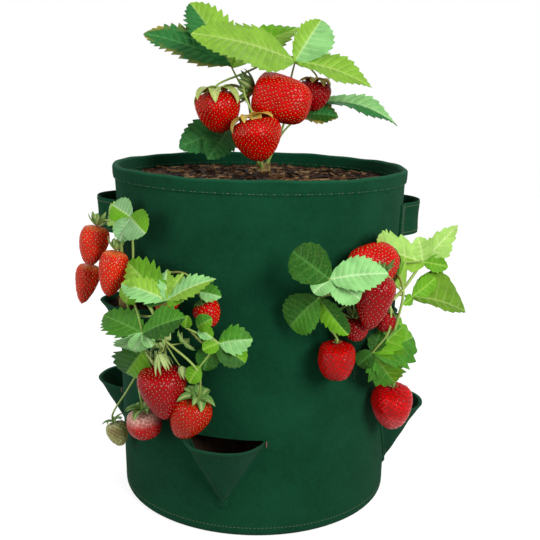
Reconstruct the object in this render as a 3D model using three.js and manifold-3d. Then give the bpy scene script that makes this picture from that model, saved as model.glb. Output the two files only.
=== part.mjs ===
// Strawberry grow bag: a round felt bag with two rings of sewn-on planting pockets, two carrying handles,
// its soil, and three fruiting strawberry plants. Millimetres, +Z up, the origin in the middle of the base
// on the ground. The front is -Y. Azimuths are in degrees, from the front towards +X.

import * as THREE from "three";
import { mergeVertices } from "three/addons/utils/BufferGeometryUtils.js";
import Module from "manifold-3d";

const wasm = await Module();
wasm.setup();

// Bag
const bagHeight = 400;
const footRadius = 163;
const mouthRadius = 172.7;
const feltThickness = 3;
const bagSegments = 48;

// Foot: the wall's felt turns in on the ground, and the base panel laps over it
const footTurnRadius = 8;
const footTurnSteps = 2;
const footRingWidth = 10;
const baseLapWidth = 8;

// Hem folded over the mouth
const hemThickness = 2;
const hemDepth = 15;
const hemCrestDrop = 3;
const hemCrestSteps = 3;

// Lapped seam up the back of the wall
const seamAzimuth = 194;
const seamWidth = 14;
const seamThickness = 2;
const seamEndMargin = 3;
const seamColumns = 2;
const seamRows = 4;

// Planting pockets: a felt pouch over a V cut in the wall
const pocketHalfWidth = 46;
const pocketDepth = 76;
const pocketBulgeDepth = 37;
const pocketFlangeWidth = 5;
const pocketCutMargin = 2;
const pocketRows = 5;
const lowerPocketAzimuths = [-12, 78, 168, 258];
const upperPocketAzimuths = [-50, 40, 130, 220];

// Handles: a felt band with a loose middle, sewn down at both ends
const handleAzimuths = { right: 94, left: 274 };
const handleTopDrop = 39;
const handleBandHeight = 39;
const handleHalfAngle = 16;
const handleStandoffDistance = 20;
const handleTabAngle = 7;
const handleColumns = 10;
const tabColumns = 2;

// Soil
const soilTopDrop = 16;
const soilMoundHeight = 3;
const soilReliefHeight = 4.6;
const soilWaveLength = 58;
const soilRings = 11;
const plantingHoleDepth = 45;
const plugTopDrop = 6;
const plugRootDepth = 6;
const plugColumns = 6;
const plugRows = 3;

// Plants
const plantSpread = 100;
const topCrownRadius = 9;
const pocketCrownRadius = 8;
const crownRiseHeight = 12;
const crownSunkDepth = 13;
const crownStandoffDistance = 18;
const crownSides = 8;
const stalkRadius = 1.4;
const stemRadius = 1.9;
const pedicelRadius = 1.2;
const stalkSides = 4;
const stalkSteps = 4;
const stemStepsPerPlace = 2;
const pedicelLeadLength = 6;
const bladeThickness = 1.2;
const bladeRootLength = 1;
const bladeRootHalfWidth = 1.2;
const bladeTipHalfWidth = 1;
const bladeColumns = 2;
const bladeRows = 4;
const sepalThickness = 1.2;
const sepalCount = 5;
const berrySides = 9;

// Fits
const seatGap = 0.3;
const growthDistance = 0.4;
const growthPasses = 12;
const growthLimitRatio = 3;
const cutOverrun = 10;
const mergeDistance = 0.001;

// Shape shares
const bladeArchShare = 0.07;
const bladeFoldShare = 0.18;
const stalkBowShare = 0.16;
const sepalReachShare = 0.8;
const sepalWaistShare = 0.34;
const berryOutlineShares = [
  [0, 0], [0.5, 0.01], [0.86, 0.09], [1, 0.28], [0.93, 0.5], [0.71, 0.73], [0.4, 0.91], [0, 1],
];
const crownOutlineShares = [[0, 0], [0.7, 0], [1, 0.35], [0.9, 0.8], [0.5, 1], [0, 1]];
const soilWaveTurnShares = [0.04, 0.21, 0.37];
const soilWaveLengthShares = [1, 0.85, 1.2];
const lowerMouthShare = 0.295;
const upperMouthShare = 0.645;

const bladeWidestPower = 0.9;
const bladeRoundPower = 0.75;

// Surfaces
const mattRoughness = 0.9;
const leafRoughness = 0.6;
const fruitRoughness = 0.35;
const feltColour = 0x12442c;
const threadColour = 0x0f3a26;
const soilColour = 0x4a3222;
const crownColour = 0x6b5a35;
const stalkColour = 0x8aa84c;
const ripeColour = 0xc4161c;
const darkRipeColour = 0x9a0f1a;
const paleRipeColour = 0xd8412e;
const unripeColour = 0x9fae5a;
const yellowGreen = 0x7fae3a;
const midGreen = 0x3f8a34;
const darkGreen = 0x1f5a32;

const radians = THREE.MathUtils.degToRad;

function wallRadius(height) {
  return footRadius + (mouthRadius - footRadius) * height / bagHeight;
}

function around(azimuth, radius, height) {
  const angle = radians(azimuth);
  return new THREE.Vector3(radius * Math.sin(angle), -radius * Math.cos(angle), height);
}

function arcDegrees(length, radius) {
  return THREE.MathUtils.radToDeg(length / radius);
}

// Booleans

function bareGeometry(points, faces) {
  const geometry = new THREE.BufferGeometry();
  geometry.setAttribute("position", new THREE.Float32BufferAttribute(points, 3));
  geometry.setIndex(faces);
  return geometry;
}

function signedVolume(position, faces) {
  const corners = [new THREE.Vector3(), new THREE.Vector3(), new THREE.Vector3()];
  let volume = 0;
  for (let start = 0; start < faces.length; start += 3) {
    corners.forEach((corner, offset) => corner.fromBufferAttribute(position, faces[start + offset]));
    volume += corners[0].dot(corners[1].clone().cross(corners[2])) / 6;
  }
  return volume;
}

// Shares the vertices, drops flattened triangles and turns the faces outwards
function welded(geometry) {
  const position = geometry.getAttribute("position");
  const index = geometry.index ?? { array: [...Array(position.count).keys()] };
  const merged = mergeVertices(bareGeometry([...position.array], [...index.array]), mergeDistance);
  const faces = [];
  for (let start = 0; start < merged.index.count; start += 3) {
    const [a, b, c] = [0, 1, 2].map((offset) => merged.index.getX(start + offset));
    if (a !== b && b !== c && c !== a) faces.push(a, b, c);
  }
  if (signedVolume(merged.getAttribute("position"), faces) < 0) faces.reverse();
  merged.setIndex(faces);
  merged.computeVertexNormals();
  return merged;
}

function solidOf(geometry) {
  const closed = welded(geometry);
  return new wasm.Manifold(new wasm.Mesh({
    numProp: 3,
    vertProperties: Float32Array.from(closed.getAttribute("position").array),
    triVerts: Uint32Array.from(closed.index.array),
  }));
}

function geometryOf(solid) {
  const mesh = solid.getMesh();
  return bareGeometry([...mesh.vertProperties], [...mesh.triVerts]);
}

function joined(geometries) {
  return geometryOf(geometries.map(solidOf).reduce((sum, next) => sum.add(next)));
}

function cut(geometry, cutters) {
  return geometryOf(cutters.map(solidOf).reduce((rest, next) => rest.subtract(next), solidOf(geometry)));
}

// The largest of the bodies that a cut leaves
function largestBody(geometry) {
  const closed = welded(geometry);
  const root = [...Array(closed.getAttribute("position").count).keys()];
  const find = (vertex) => {
    while (root[vertex] !== vertex) vertex = root[vertex];
    return vertex;
  };
  const faces = [...closed.index.array];
  for (let start = 0; start < faces.length; start += 3) {
    root[find(faces[start + 1])] = find(faces[start]);
    root[find(faces[start + 2])] = find(faces[start]);
  }
  const bodies = new Map();
  for (let start = 0; start < faces.length; start += 3) {
    const key = find(faces[start]);
    if (!bodies.has(key)) bodies.set(key, []);
    bodies.get(key).push(...faces.slice(start, start + 3));
  }
  const position = closed.getAttribute("position");
  const sizes = [...bodies.values()].map((body) => [signedVolume(position, body), body]);
  const largest = sizes.reduce((best, next) => (next[0] > best[0] ? next : best));
  return welded(bareGeometry([...position.array], largest[1]));
}

// The geometry with each face moved out by at least the margin
function grown(geometry, margin) {
  const fat = welded(geometry);
  const position = fat.getAttribute("position");
  const faceNormals = [...Array(position.count)].map(() => []);
  const triangle = new THREE.Triangle();
  for (let start = 0; start < fat.index.count; start += 3) {
    const corners = [0, 1, 2].map((offset) => fat.index.getX(start + offset));
    triangle.setFromAttributeAndIndices(position, ...corners);
    const normal = triangle.getNormal(new THREE.Vector3());
    corners.forEach((corner) => faceNormals[corner].push(normal));
  }
  faceNormals.forEach((normals, vertex) => {
    const shift = new THREE.Vector3();
    for (let pass = 0; pass < growthPasses; pass++) {
      for (const normal of normals) {
        shift.addScaledVector(normal, Math.max(margin - shift.dot(normal), 0));
      }
    }
    shift.clampLength(0, margin * growthLimitRatio);
    shift.add(new THREE.Vector3().fromBufferAttribute(position, vertex));
    position.setXYZ(vertex, ...shift.toArray());
  });
  return fat;
}

// Shapes

// A closed sheet between an outer and an inner surface, given as functions of two shares
function sheetGeometry(columns, rows, outerAt, innerAt) {
  const points = [];
  for (const pointAt of [outerAt, innerAt]) {
    for (let row = 0; row <= rows; row++) {
      for (let column = 0; column <= columns; column++) {
        points.push(...pointAt(column / columns, row / rows).toArray());
      }
    }
  }
  const layerSize = (rows + 1) * (columns + 1);
  const outer = (column, row) => row * (columns + 1) + column;
  const inner = (column, row) => layerSize + outer(column, row);
  const faces = [];
  const quad = (a, b, c, d) => faces.push(a, b, c, a, c, d);
  for (let row = 0; row < rows; row++) {
    for (let column = 0; column < columns; column++) {
      quad(outer(column, row), outer(column + 1, row), outer(column + 1, row + 1), outer(column, row + 1));
      quad(inner(column, row + 1), inner(column + 1, row + 1), inner(column + 1, row), inner(column, row));
    }
    quad(outer(0, row + 1), inner(0, row + 1), inner(0, row), outer(0, row));
    quad(outer(columns, row), inner(columns, row), inner(columns, row + 1), outer(columns, row + 1));
  }
  for (let column = 0; column < columns; column++) {
    quad(outer(column, 0), inner(column, 0), inner(column + 1, 0), outer(column + 1, 0));
    quad(outer(column + 1, rows), inner(column + 1, rows), inner(column, rows), outer(column, rows));
  }
  return bareGeometry(points, faces);
}

// A ring or disc turned about Z from a closed outline of [radius, height] pairs
function turnedGeometry(outline, segments) {
  const points = outline.map(([radius, height]) => new THREE.Vector2(radius, height));
  const geometry = new THREE.LatheGeometry([...points, points[0]], segments);
  geometry.rotateX(Math.PI / 2);
  return geometry;
}

function tubeGeometry(places, radius, steps) {
  const corners = [];
  for (let side = 0; side < stalkSides; side++) {
    const angle = 2 * Math.PI * side / stalkSides;
    corners.push(new THREE.Vector2(radius * Math.cos(angle), radius * Math.sin(angle)));
  }
  const path = new THREE.CatmullRomCurve3(places);
  return new THREE.ExtrudeGeometry(new THREE.Shape(corners), { extrudePath: path, steps });
}

// A wedge with the pocket's V outline, at the front, between two distances from the axis
function pocketWedge(mouthHeight, margin, nearRadius, farRadius) {
  const halfWidth = pocketHalfWidth - margin;
  const tipHeight = mouthHeight - pocketDepth * halfWidth / pocketHalfWidth;
  const outline = new THREE.Shape([
    new THREE.Vector2(-halfWidth, mouthHeight),
    new THREE.Vector2(0, tipHeight),
    new THREE.Vector2(halfWidth, mouthHeight),
  ]);
  const geometry = new THREE.ExtrudeGeometry(outline, {
    depth: farRadius - nearRadius,
    bevelEnabled: false,
  });
  geometry.rotateX(Math.PI / 2);
  geometry.translate(0, -nearRadius, 0);
  return geometry;
}

// Scene

const growBag = new THREE.Group();
const settled = [];

function makeMesh(name, geometry, colour, roughness = mattRoughness) {
  const material = new THREE.MeshStandardMaterial({ color: colour, roughness, metalness: 0 });
  const mesh = new THREE.Mesh(welded(geometry), material);
  mesh.name = name;
  return mesh;
}

// Adds a placed mesh and keeps its space clear of the trimmed meshes that follow it
function settle(mesh) {
  growBag.add(mesh);
  mesh.updateWorldMatrix(true, false);
  const keptSpace = grown(mesh.geometry.clone().applyMatrix4(mesh.matrixWorld), growthDistance);
  keptSpace.computeBoundingBox();
  settled.push(keptSpace);
}

// Adds a placed mesh once it is trimmed where an earlier one is in its way
function settleTrimmed(mesh) {
  mesh.updateWorldMatrix(true, false);
  const placed = mesh.geometry.clone().applyMatrix4(mesh.matrixWorld);
  placed.computeBoundingBox();
  const inTheWay = settled.filter((earlier) => earlier.boundingBox.intersectsBox(placed.boundingBox));
  const trimmed = largestBody(cut(placed, inTheWay));
  mesh.geometry = trimmed.applyMatrix4(mesh.matrixWorld.clone().invert());
  settle(mesh);
}

function addAt(azimuth, mesh) {
  mesh.rotation.z = radians(azimuth);
  settle(mesh);
}

// Bag pieces

const lowerMouthHeight = bagHeight * lowerMouthShare;
const upperMouthHeight = bagHeight * upperMouthShare;
const handleTopHeight = bagHeight - handleTopDrop;
const wallTop = bagHeight - hemThickness - seatGap;
const footFlatRadius = wallRadius(footTurnRadius) - footTurnRadius;
const footRingRadius = footFlatRadius - footRingWidth;
const baseLapTop = 2 * feltThickness + seatGap;
const cutFarRadius = Math.max(footRadius, mouthRadius) + cutOverrun;

function footArc(radius) {
  const points = [];
  for (let step = 0; step <= footTurnSteps; step++) {
    const angle = Math.PI / 2 * step / footTurnSteps;
    const height = footTurnRadius - radius * Math.cos(angle);
    points.push([footFlatRadius + radius * Math.sin(angle), height]);
  }
  return points;
}

function sideWall() {
  const outline = [
    [footRingRadius, 0],
    ...footArc(footTurnRadius),
    [wallRadius(wallTop), wallTop],
    [wallRadius(wallTop) - feltThickness, wallTop],
    ...footArc(footTurnRadius - feltThickness).reverse(),
    [footRingRadius, feltThickness],
  ];
  const cuts = pockets.map(({ azimuth, mouthHeight }) => {
    const nearRadius = Math.min(footRadius, mouthRadius) - feltThickness - cutOverrun;
    const wedge = pocketWedge(mouthHeight, pocketCutMargin, nearRadius, cutFarRadius);
    return wedge.rotateZ(radians(azimuth));
  });
  return cut(turnedGeometry(outline, bagSegments), cuts);
}

function topHem() {
  const bottom = bagHeight - hemDepth;
  const shoulder = bagHeight - hemCrestDrop;
  const crestHalfWidth = feltThickness / 2 + seatGap + hemThickness;
  const crestRadius = wallRadius(bagHeight) - feltThickness / 2;
  const crest = [];
  for (let step = 0; step <= hemCrestSteps; step++) {
    const angle = Math.PI * step / hemCrestSteps;
    const radius = crestRadius + crestHalfWidth * Math.cos(angle);
    crest.push([radius, shoulder + hemCrestDrop * Math.sin(angle)]);
  }
  const outside = (height) => wallRadius(height) + seatGap;
  const inside = (height) => wallRadius(height) - feltThickness - seatGap;
  const foldTop = bagHeight - hemThickness;
  return turnedGeometry([
    [outside(bottom) + hemThickness, bottom],
    ...crest,
    [inside(bottom) - hemThickness, bottom],
    [inside(bottom), bottom],
    [inside(foldTop), foldTop],
    [outside(foldTop), foldTop],
    [outside(bottom), bottom],
  ], bagSegments);
}

function basePanel() {
  const discRadius = footRingRadius - seatGap;
  return turnedGeometry([
    [0, 0],
    [discRadius, 0],
    [discRadius, feltThickness + seatGap],
    [footRingRadius + baseLapWidth, feltThickness + seatGap],
    [footRingRadius + baseLapWidth, baseLapTop],
    [discRadius - feltThickness, baseLapTop],
    [discRadius - feltThickness, feltThickness],
    [0, feltThickness],
  ], bagSegments);
}

function backSeamLap() {
  const bottom = footTurnRadius + seamEndMargin;
  const top = bagHeight - hemDepth - seamEndMargin;
  const at = (lift) => (acrossShare, upShare) => {
    const height = bottom + (top - bottom) * upShare;
    const radius = wallRadius(height) + seatGap + lift;
    return around(arcDegrees(seamWidth * (acrossShare - 0.5), mouthRadius), radius, height);
  };
  return sheetGeometry(seamColumns, seamRows, at(seamThickness), at(0));
}

// Half the V's width at a height
function pocketHalfWidthAt(mouthHeight, height) {
  const riseShare = Math.max((height - mouthHeight + pocketDepth) / pocketDepth, 0);
  return pocketHalfWidth * riseShare;
}

// How far the pouch's inner face stands off the wall
function pocketBulgeAt(mouthHeight, height, offCentre) {
  const halfWidth = pocketHalfWidthAt(mouthHeight, height);
  const acrossShare = halfWidth > 0 ? Math.min(Math.abs(offCentre) / halfWidth, 1) : 1;
  return pocketBulgeDepth * (halfWidth / pocketHalfWidth) * (1 - acrossShare ** 2);
}

const pouchColumnShares = [-1, -1, -0.67, -0.33, 0, 0.33, 0.67, 1, 1];

function pouch(mouthHeight) {
  const bottom = mouthHeight - pocketDepth - pocketFlangeWidth;
  const columns = pouchColumnShares.length - 1;
  const at = (lift) => (acrossShare, upShare) => {
    const column = Math.round(acrossShare * columns);
    const height = bottom + (mouthHeight - bottom) * upShare;
    const flange = (column === 0 || column === columns) ? pocketFlangeWidth : 0;
    const halfWidth = Math.max(pocketHalfWidthAt(mouthHeight, height), seamThickness);
    const offCentre = pouchColumnShares[column] * halfWidth + Math.sign(pouchColumnShares[column]) * flange;
    const bulge = pocketBulgeAt(mouthHeight, height, offCentre);
    const azimuth = arcDegrees(offCentre, wallRadius(height));
    return around(azimuth, wallRadius(height) + seatGap + bulge + lift, height);
  };
  return sheetGeometry(columns, pocketRows, at(feltThickness), at(0));
}

// One stretch of a handle band between two angles either side of the handle's middle
function bandStretch(fromAngle, toAngle, columns) {
  const at = (lift) => (acrossShare, upShare) => {
    const angle = fromAngle + (toAngle - fromAngle) * acrossShare;
    const looseShare = Math.max(1 - (angle / handleHalfAngle) ** 2, 0);
    const radius = wallRadius(handleTopHeight) + seatGap + handleStandoffDistance * looseShare + lift;
    return around(angle, radius, handleTopHeight - handleBandHeight * (1 - upShare));
  };
  return sheetGeometry(columns, 1, at(feltThickness), at(0));
}

function addHandle(side, azimuth) {
  const endGap = arcDegrees(seatGap, wallRadius(handleTopHeight));
  const loose = handleHalfAngle - endGap;
  const strap = bandStretch(-loose, loose, handleColumns);
  addAt(azimuth, makeMesh(`handle_strap_${side}`, strap, feltColour));
  const tabEnd = handleHalfAngle + handleTabAngle;
  const first = bandStretch(-tabEnd, -handleHalfAngle, tabColumns);
  const second = bandStretch(handleHalfAngle, tabEnd, tabColumns);
  addAt(azimuth, makeMesh(`handle_tab_${side}_1`, first, feltColour));
  addAt(azimuth, makeMesh(`handle_tab_${side}_2`, second, feltColour));
}

// Soil

const soilTop = bagHeight - soilTopDrop;

// The soil that fills a planted pouch and joins the soil in the bag through the V cut
function pouchPlug(mouthHeight) {
  const top = mouthHeight - plugTopDrop;
  const halfWidthAt = (height) => pocketHalfWidthAt(mouthHeight, height) - pocketCutMargin - 2 * seatGap;
  const bottom = mouthHeight - pocketDepth / 2;
  const place = (acrossShare, upShare) => {
    const height = bottom + (top - bottom) * upShare;
    const offCentre = halfWidthAt(height) * (2 * acrossShare - 1);
    return { height, offCentre, azimuth: arcDegrees(offCentre, wallRadius(height)) };
  };
  const outerAt = (acrossShare, upShare) => {
    const { height, offCentre, azimuth } = place(acrossShare, upShare);
    return around(azimuth, wallRadius(height) + pocketBulgeAt(mouthHeight, height, offCentre), height);
  };
  const innerAt = (acrossShare, upShare) => {
    const { height, azimuth } = place(acrossShare, upShare);
    return around(azimuth, wallRadius(height) - feltThickness - plugRootDepth, height);
  };
  return sheetGeometry(plugColumns, plugRows, outerAt, innerAt);
}

// How far the soil's top stands above its edge: a low mound with rises and hollows on it
function soilRiseAt(x, y, edgeRadius) {
  const inward = 1 - (Math.hypot(x, y) / edgeRadius) ** 2;
  const waves = soilWaveTurnShares.map((turnShare, order) => {
    const angle = 2 * Math.PI * turnShare;
    const along = x * Math.cos(angle) + y * Math.sin(angle);
    return Math.sin(2 * Math.PI * along / (soilWaveLength * soilWaveLengthShares[order]));
  });
  const wave = waves.reduce((sum, next) => sum + next) / waves.length;
  return soilMoundHeight * inward + soilReliefHeight / 2 * wave * Math.sqrt(Math.max(inward, 0));
}

function soilBody() {
  const bottom = baseLapTop + seatGap;
  const insideRadius = (height) => wallRadius(height) - feltThickness - seatGap;
  const edgeTop = soilTop - soilMoundHeight;
  const edgeRadius = insideRadius(edgeTop);
  const rings = [];
  for (let ring = soilRings; ring >= 0; ring--) {
    rings.push([edgeRadius * ring / soilRings, edgeTop]);
  }
  const body = turnedGeometry([[0, bottom], [insideRadius(bottom) - seatGap, bottom], ...rings], bagSegments);
  const position = body.getAttribute("position");
  for (let vertex = 0; vertex < position.count; vertex++) {
    if (position.getZ(vertex) > edgeTop - mergeDistance) {
      const rise = soilRiseAt(position.getX(vertex), position.getY(vertex), edgeRadius);
      position.setZ(vertex, edgeTop + rise);
    }
  }
  return body;
}

function soil(setInSoil) {
  const plugs = pockets.filter((pocket) => pocket.planted).map(({ azimuth, mouthHeight }) => {
    return pouchPlug(mouthHeight).rotateZ(radians(azimuth));
  });
  const holes = pockets.filter((pocket) => !pocket.planted).map(({ azimuth, mouthHeight }) => {
    const nearRadius = wallRadius(mouthHeight) - plantingHoleDepth;
    const wedge = pocketWedge(mouthHeight, pocketCutMargin, nearRadius, cutFarRadius);
    return wedge.rotateZ(radians(azimuth));
  });
  return cut(joined([soilBody(), ...plugs]), [...holes, ...setInSoil.map((mesh) => {
    mesh.updateWorldMatrix(true, false);
    return grown(mesh.geometry.clone().applyMatrix4(mesh.matrixWorld), seatGap);
  })]);
}

// Plants

// A place on the top plant: shares of the spread to the right, to the front and up
function topPlace([rightShare, frontShare, upShare]) {
  return new THREE.Vector3(
    rightShare * plantSpread,
    -frontShare * plantSpread,
    soilTop + upShare * plantSpread,
  );
}

// A place on a pocket's plant: shares of the spread round the bag, off the wall and up from the mouth
function pocketPlace(azimuth, mouthHeight) {
  return ([aroundShare, offShare, upShare]) => {
    const height = mouthHeight + upShare * plantSpread;
    const turn = arcDegrees(aroundShare * plantSpread, wallRadius(bagHeight));
    return around(azimuth + turn, wallRadius(height) + offShare * plantSpread, height);
  };
}

function facingAt(placeAt, place, facingShare) {
  const there = placeAt(place);
  const beyond = placeAt(place.map((share, axis) => share + facingShare[axis]));
  return beyond.sub(there).normalize();
}

function bladeHalfWidth(length, widthShare, alongShare) {
  const outlineShare = Math.sin(Math.PI * alongShare ** bladeWidestPower) ** bladeRoundPower;
  const endHalfWidth = THREE.MathUtils.lerp(bladeRootHalfWidth, bladeTipHalfWidth, alongShare);
  return Math.max(length * widthShare * outlineShare, endHalfWidth);
}

function leafletGeometry(hub, tip, facing, widthShare) {
  const along = tip.clone().sub(hub);
  const length = along.length();
  along.normalize();
  const side = facing.clone().cross(along).normalize();
  const normal = along.clone().cross(side);
  const at = (lift) => (acrossShare, alongShare) => {
    const across = 2 * acrossShare - 1;
    const halfWidth = bladeHalfWidth(length, widthShare, alongShare);
    const arch = bladeArchShare * length * 4 * alongShare * (1 - alongShare);
    const fold = bladeFoldShare * halfWidth * Math.abs(across);
    return hub.clone()
      .addScaledVector(along, alongShare * (length + bladeRootLength) - bladeRootLength)
      .addScaledVector(side, across * halfWidth)
      .addScaledVector(normal, arch + fold + lift);
  };
  return sheetGeometry(bladeColumns, bladeRows, at(bladeThickness / 2), at(-bladeThickness / 2));
}

// A stalk that bows towards the leaf's face between its ends
function stalkPlaces(from, to, bow) {
  const middle = from.clone().lerp(to, 0.5).addScaledVector(bow, from.distanceTo(to) * stalkBowShare);
  return [from, middle, to];
}

function addPlantMesh(name, geometry, origin, colour, roughness) {
  const mesh = makeMesh(name, geometry.translate(-origin.x, -origin.y, -origin.z), colour, roughness);
  mesh.position.copy(origin);
  settleTrimmed(mesh);
}

function addLeaf(name, placeAt, crown, { hub, blades, colour, via }) {
  const hubPlace = placeAt(hub);
  const stalk = via
    ? [crown, ...via.map(placeAt), hubPlace]
    : stalkPlaces(crown, hubPlace, new THREE.Vector3(0, 0, 1));
  const parts = [tubeGeometry(stalk, stalkRadius, stalkSteps)];
  for (const { tip, facing, widthShare, from } of blades) {
    const base = from ? placeAt(from) : hubPlace;
    if (from) parts.push(tubeGeometry([hubPlace, base], stalkRadius, 1));
    parts.push(leafletGeometry(base, placeAt(tip), facingAt(placeAt, hub, facing), widthShare));
  }
  addPlantMesh(name, joined(parts), hubPlace, colour, leafRoughness);
}

function addCrown(name, place, radius, colour) {
  const height = crownRiseHeight + crownSunkDepth;
  const outline = crownOutlineShares.map(([radiusShare, upShare]) => {
    return [radius * radiusShare, height * upShare - crownSunkDepth];
  });
  const mesh = makeMesh(name, turnedGeometry(outline, crownSides), colour);
  mesh.position.copy(place);
  settle(mesh);
}

function addBerry(name, calyx, tip, width, colour) {
  const length = calyx.distanceTo(tip);
  const outline = berryOutlineShares.map(([radiusShare, alongShare]) => {
    return [radiusShare * width / 2, alongShare * length];
  });
  const mesh = makeMesh(name, turnedGeometry(outline, berrySides), colour, fruitRoughness);
  mesh.position.copy(calyx);
  const along = tip.clone().sub(calyx).normalize();
  mesh.quaternion.setFromUnitVectors(new THREE.Vector3(0, 0, 1), along);
  settleTrimmed(mesh);
}

// The star of sepals on a berry's shoulder, just clear of the berry
function sepalStar(calyx, tip, width) {
  const corners = [];
  for (let corner = 0; corner < 2 * sepalCount; corner++) {
    const angle = Math.PI * corner / sepalCount;
    const reach = width / 2 * (corner % 2 === 0 ? sepalReachShare : sepalWaistShare);
    corners.push(new THREE.Vector2(reach * Math.cos(angle), reach * Math.sin(angle)));
  }
  const star = new THREE.ExtrudeGeometry(new THREE.Shape(corners), {
    depth: sepalThickness,
    bevelEnabled: false,
  });
  const outward = calyx.clone().sub(tip).normalize();
  star.translate(0, 0, growthDistance);
  star.applyQuaternion(new THREE.Quaternion().setFromUnitVectors(new THREE.Vector3(0, 0, 1), outward));
  return star.translate(calyx.x, calyx.y, calyx.z);
}

function nearestPoint(place, points) {
  return points.reduce((best, next) => (next.distanceTo(place) < best.distanceTo(place) ? next : best));
}

function addTruss(name, placeAt, crown, truss) {
  const stemPlaces = [crown, ...truss.stem.map(placeAt)];
  const stemSteps = stemStepsPerPlace * truss.stem.length;
  const stemPoints = new THREE.CatmullRomCurve3(stemPlaces).getSpacedPoints(stemSteps);
  const parts = [tubeGeometry(stemPlaces, stemRadius, stemSteps)];
  for (const berry of truss.berries) {
    const calyx = placeAt(berry.calyx);
    const tip = placeAt(berry.tip);
    const outward = calyx.clone().sub(tip).normalize();
    const seat = calyx.clone().addScaledVector(outward, growthDistance + sepalThickness / 2);
    const fork = nearestPoint(stemPlaces[berry.fork], stemPoints);
    const bowed = (berry.via ?? []).map(placeAt);
    const lead = calyx.clone().addScaledVector(outward, pedicelLeadLength);
    parts.push(sepalStar(calyx, tip, berry.widthShare * plantSpread));
    parts.push(tubeGeometry([fork, ...bowed, lead, seat], pedicelRadius, stalkSteps));
  }
  addPlantMesh(name, joined(parts), crown, stalkColour, leafRoughness);
}

function addPlant(name, placeAt, crown, plant) {
  plant.trusses.forEach((truss) => {
    truss.berries.forEach((berry, order) => {
      const berryName = `berry_${name}${truss.suffix}_${order + 1}`;
      const width = berry.widthShare * plantSpread;
      addBerry(berryName, placeAt(berry.calyx), placeAt(berry.tip), width, berry.colour ?? ripeColour);
    });
  });
  plant.trusses.forEach((truss) => addTruss(`truss_${name}${truss.suffix}`, placeAt, crown, truss));
  plant.leaves.forEach((leaf, order) => addLeaf(`leaf_${name}_${order + 1}`, placeAt, crown, leaf));
}

const topPlant = {
  trusses: [{
    suffix: "",
    stem: [[-0.1, 0.05, 0.6], [-0.2, 0.12, 1.22]],
    berries: [
      { calyx: [-0.56, 0.2, 1], tip: [-0.5, 0.2, 0.53], widthShare: 0.51, fork: 2 },
      { calyx: [-0.09, 0.44, 0.71], tip: [0.02, 0.48, 0.23], widthShare: 0.58, fork: 2,
        via: [[-0.2, 0.4, 1]] },
      { calyx: [-0.02, 0.2, 1.05], tip: [0.54, 0.32, 0.83], widthShare: 0.6, fork: 2 },
      { calyx: [0.64, -0.12, 1.14], tip: [0.6, -0.12, 0.78], widthShare: 0.42, fork: 2, via: [[0.3, 0, 1.42]],
        colour: darkRipeColour },
    ],
  }],
  leaves: [
    { hub: [0.38, 0.06, 1.36], via: [[0.3, -0.36, 0.7], [0.34, -0.12, 1.15]], colour: yellowGreen, blades: [
      { tip: [-0.8, 0.42, 1.62], facing: [0, 0.55, 0.85], widthShare: 0.29 },
      { tip: [0.66, -0.12, 1.84], facing: [-0.5, 0.8, 0.35], widthShare: 0.44 },
      { tip: [1.27, 0.18, 1.08], facing: [0.1, 0.6, 0.85], widthShare: 0.23 },
    ] },
    { hub: [-0.37, -0.22, 1.29], colour: midGreen, blades: [
      { tip: [-1.42, -0.26, 1.64], facing: [0, 0.7, 0.75], widthShare: 0.23 },
      { tip: [-0.9, -0.58, 2.03], facing: [0.2, 0.9, 0.5], widthShare: 0.34 },
      { tip: [0.44, -0.6, 1.77], facing: [0, 0.6, 0.85], widthShare: 0.24 },
    ] },
    { hub: [0.5, -0.3, 0.74], colour: darkGreen, blades: [
      { tip: [1.65, -0.22, 0.63], facing: [0.1, 0.55, 0.9], widthShare: 0.17, from: [0.74, -0.3, 0.9] },
      { tip: [0.93, -0.2, 0.72], facing: [0, 0.7, 0.7], widthShare: 0.36 },
    ] },
    { hub: [-0.38, -0.2, 0.55], colour: darkGreen, blades: [
      { tip: [-0.97, 0.02, 0.33], facing: [0, 0.9, 0.5], widthShare: 0.33 },
      { tip: [-0.62, 0.2, 0.22], facing: [0.2, 0.9, 0.5], widthShare: 0.33 },
      { tip: [-0.74, -0.18, 0.64], facing: [0, 0.9, 0.5], widthShare: 0.3 },
    ] },
  ],
};

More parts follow.
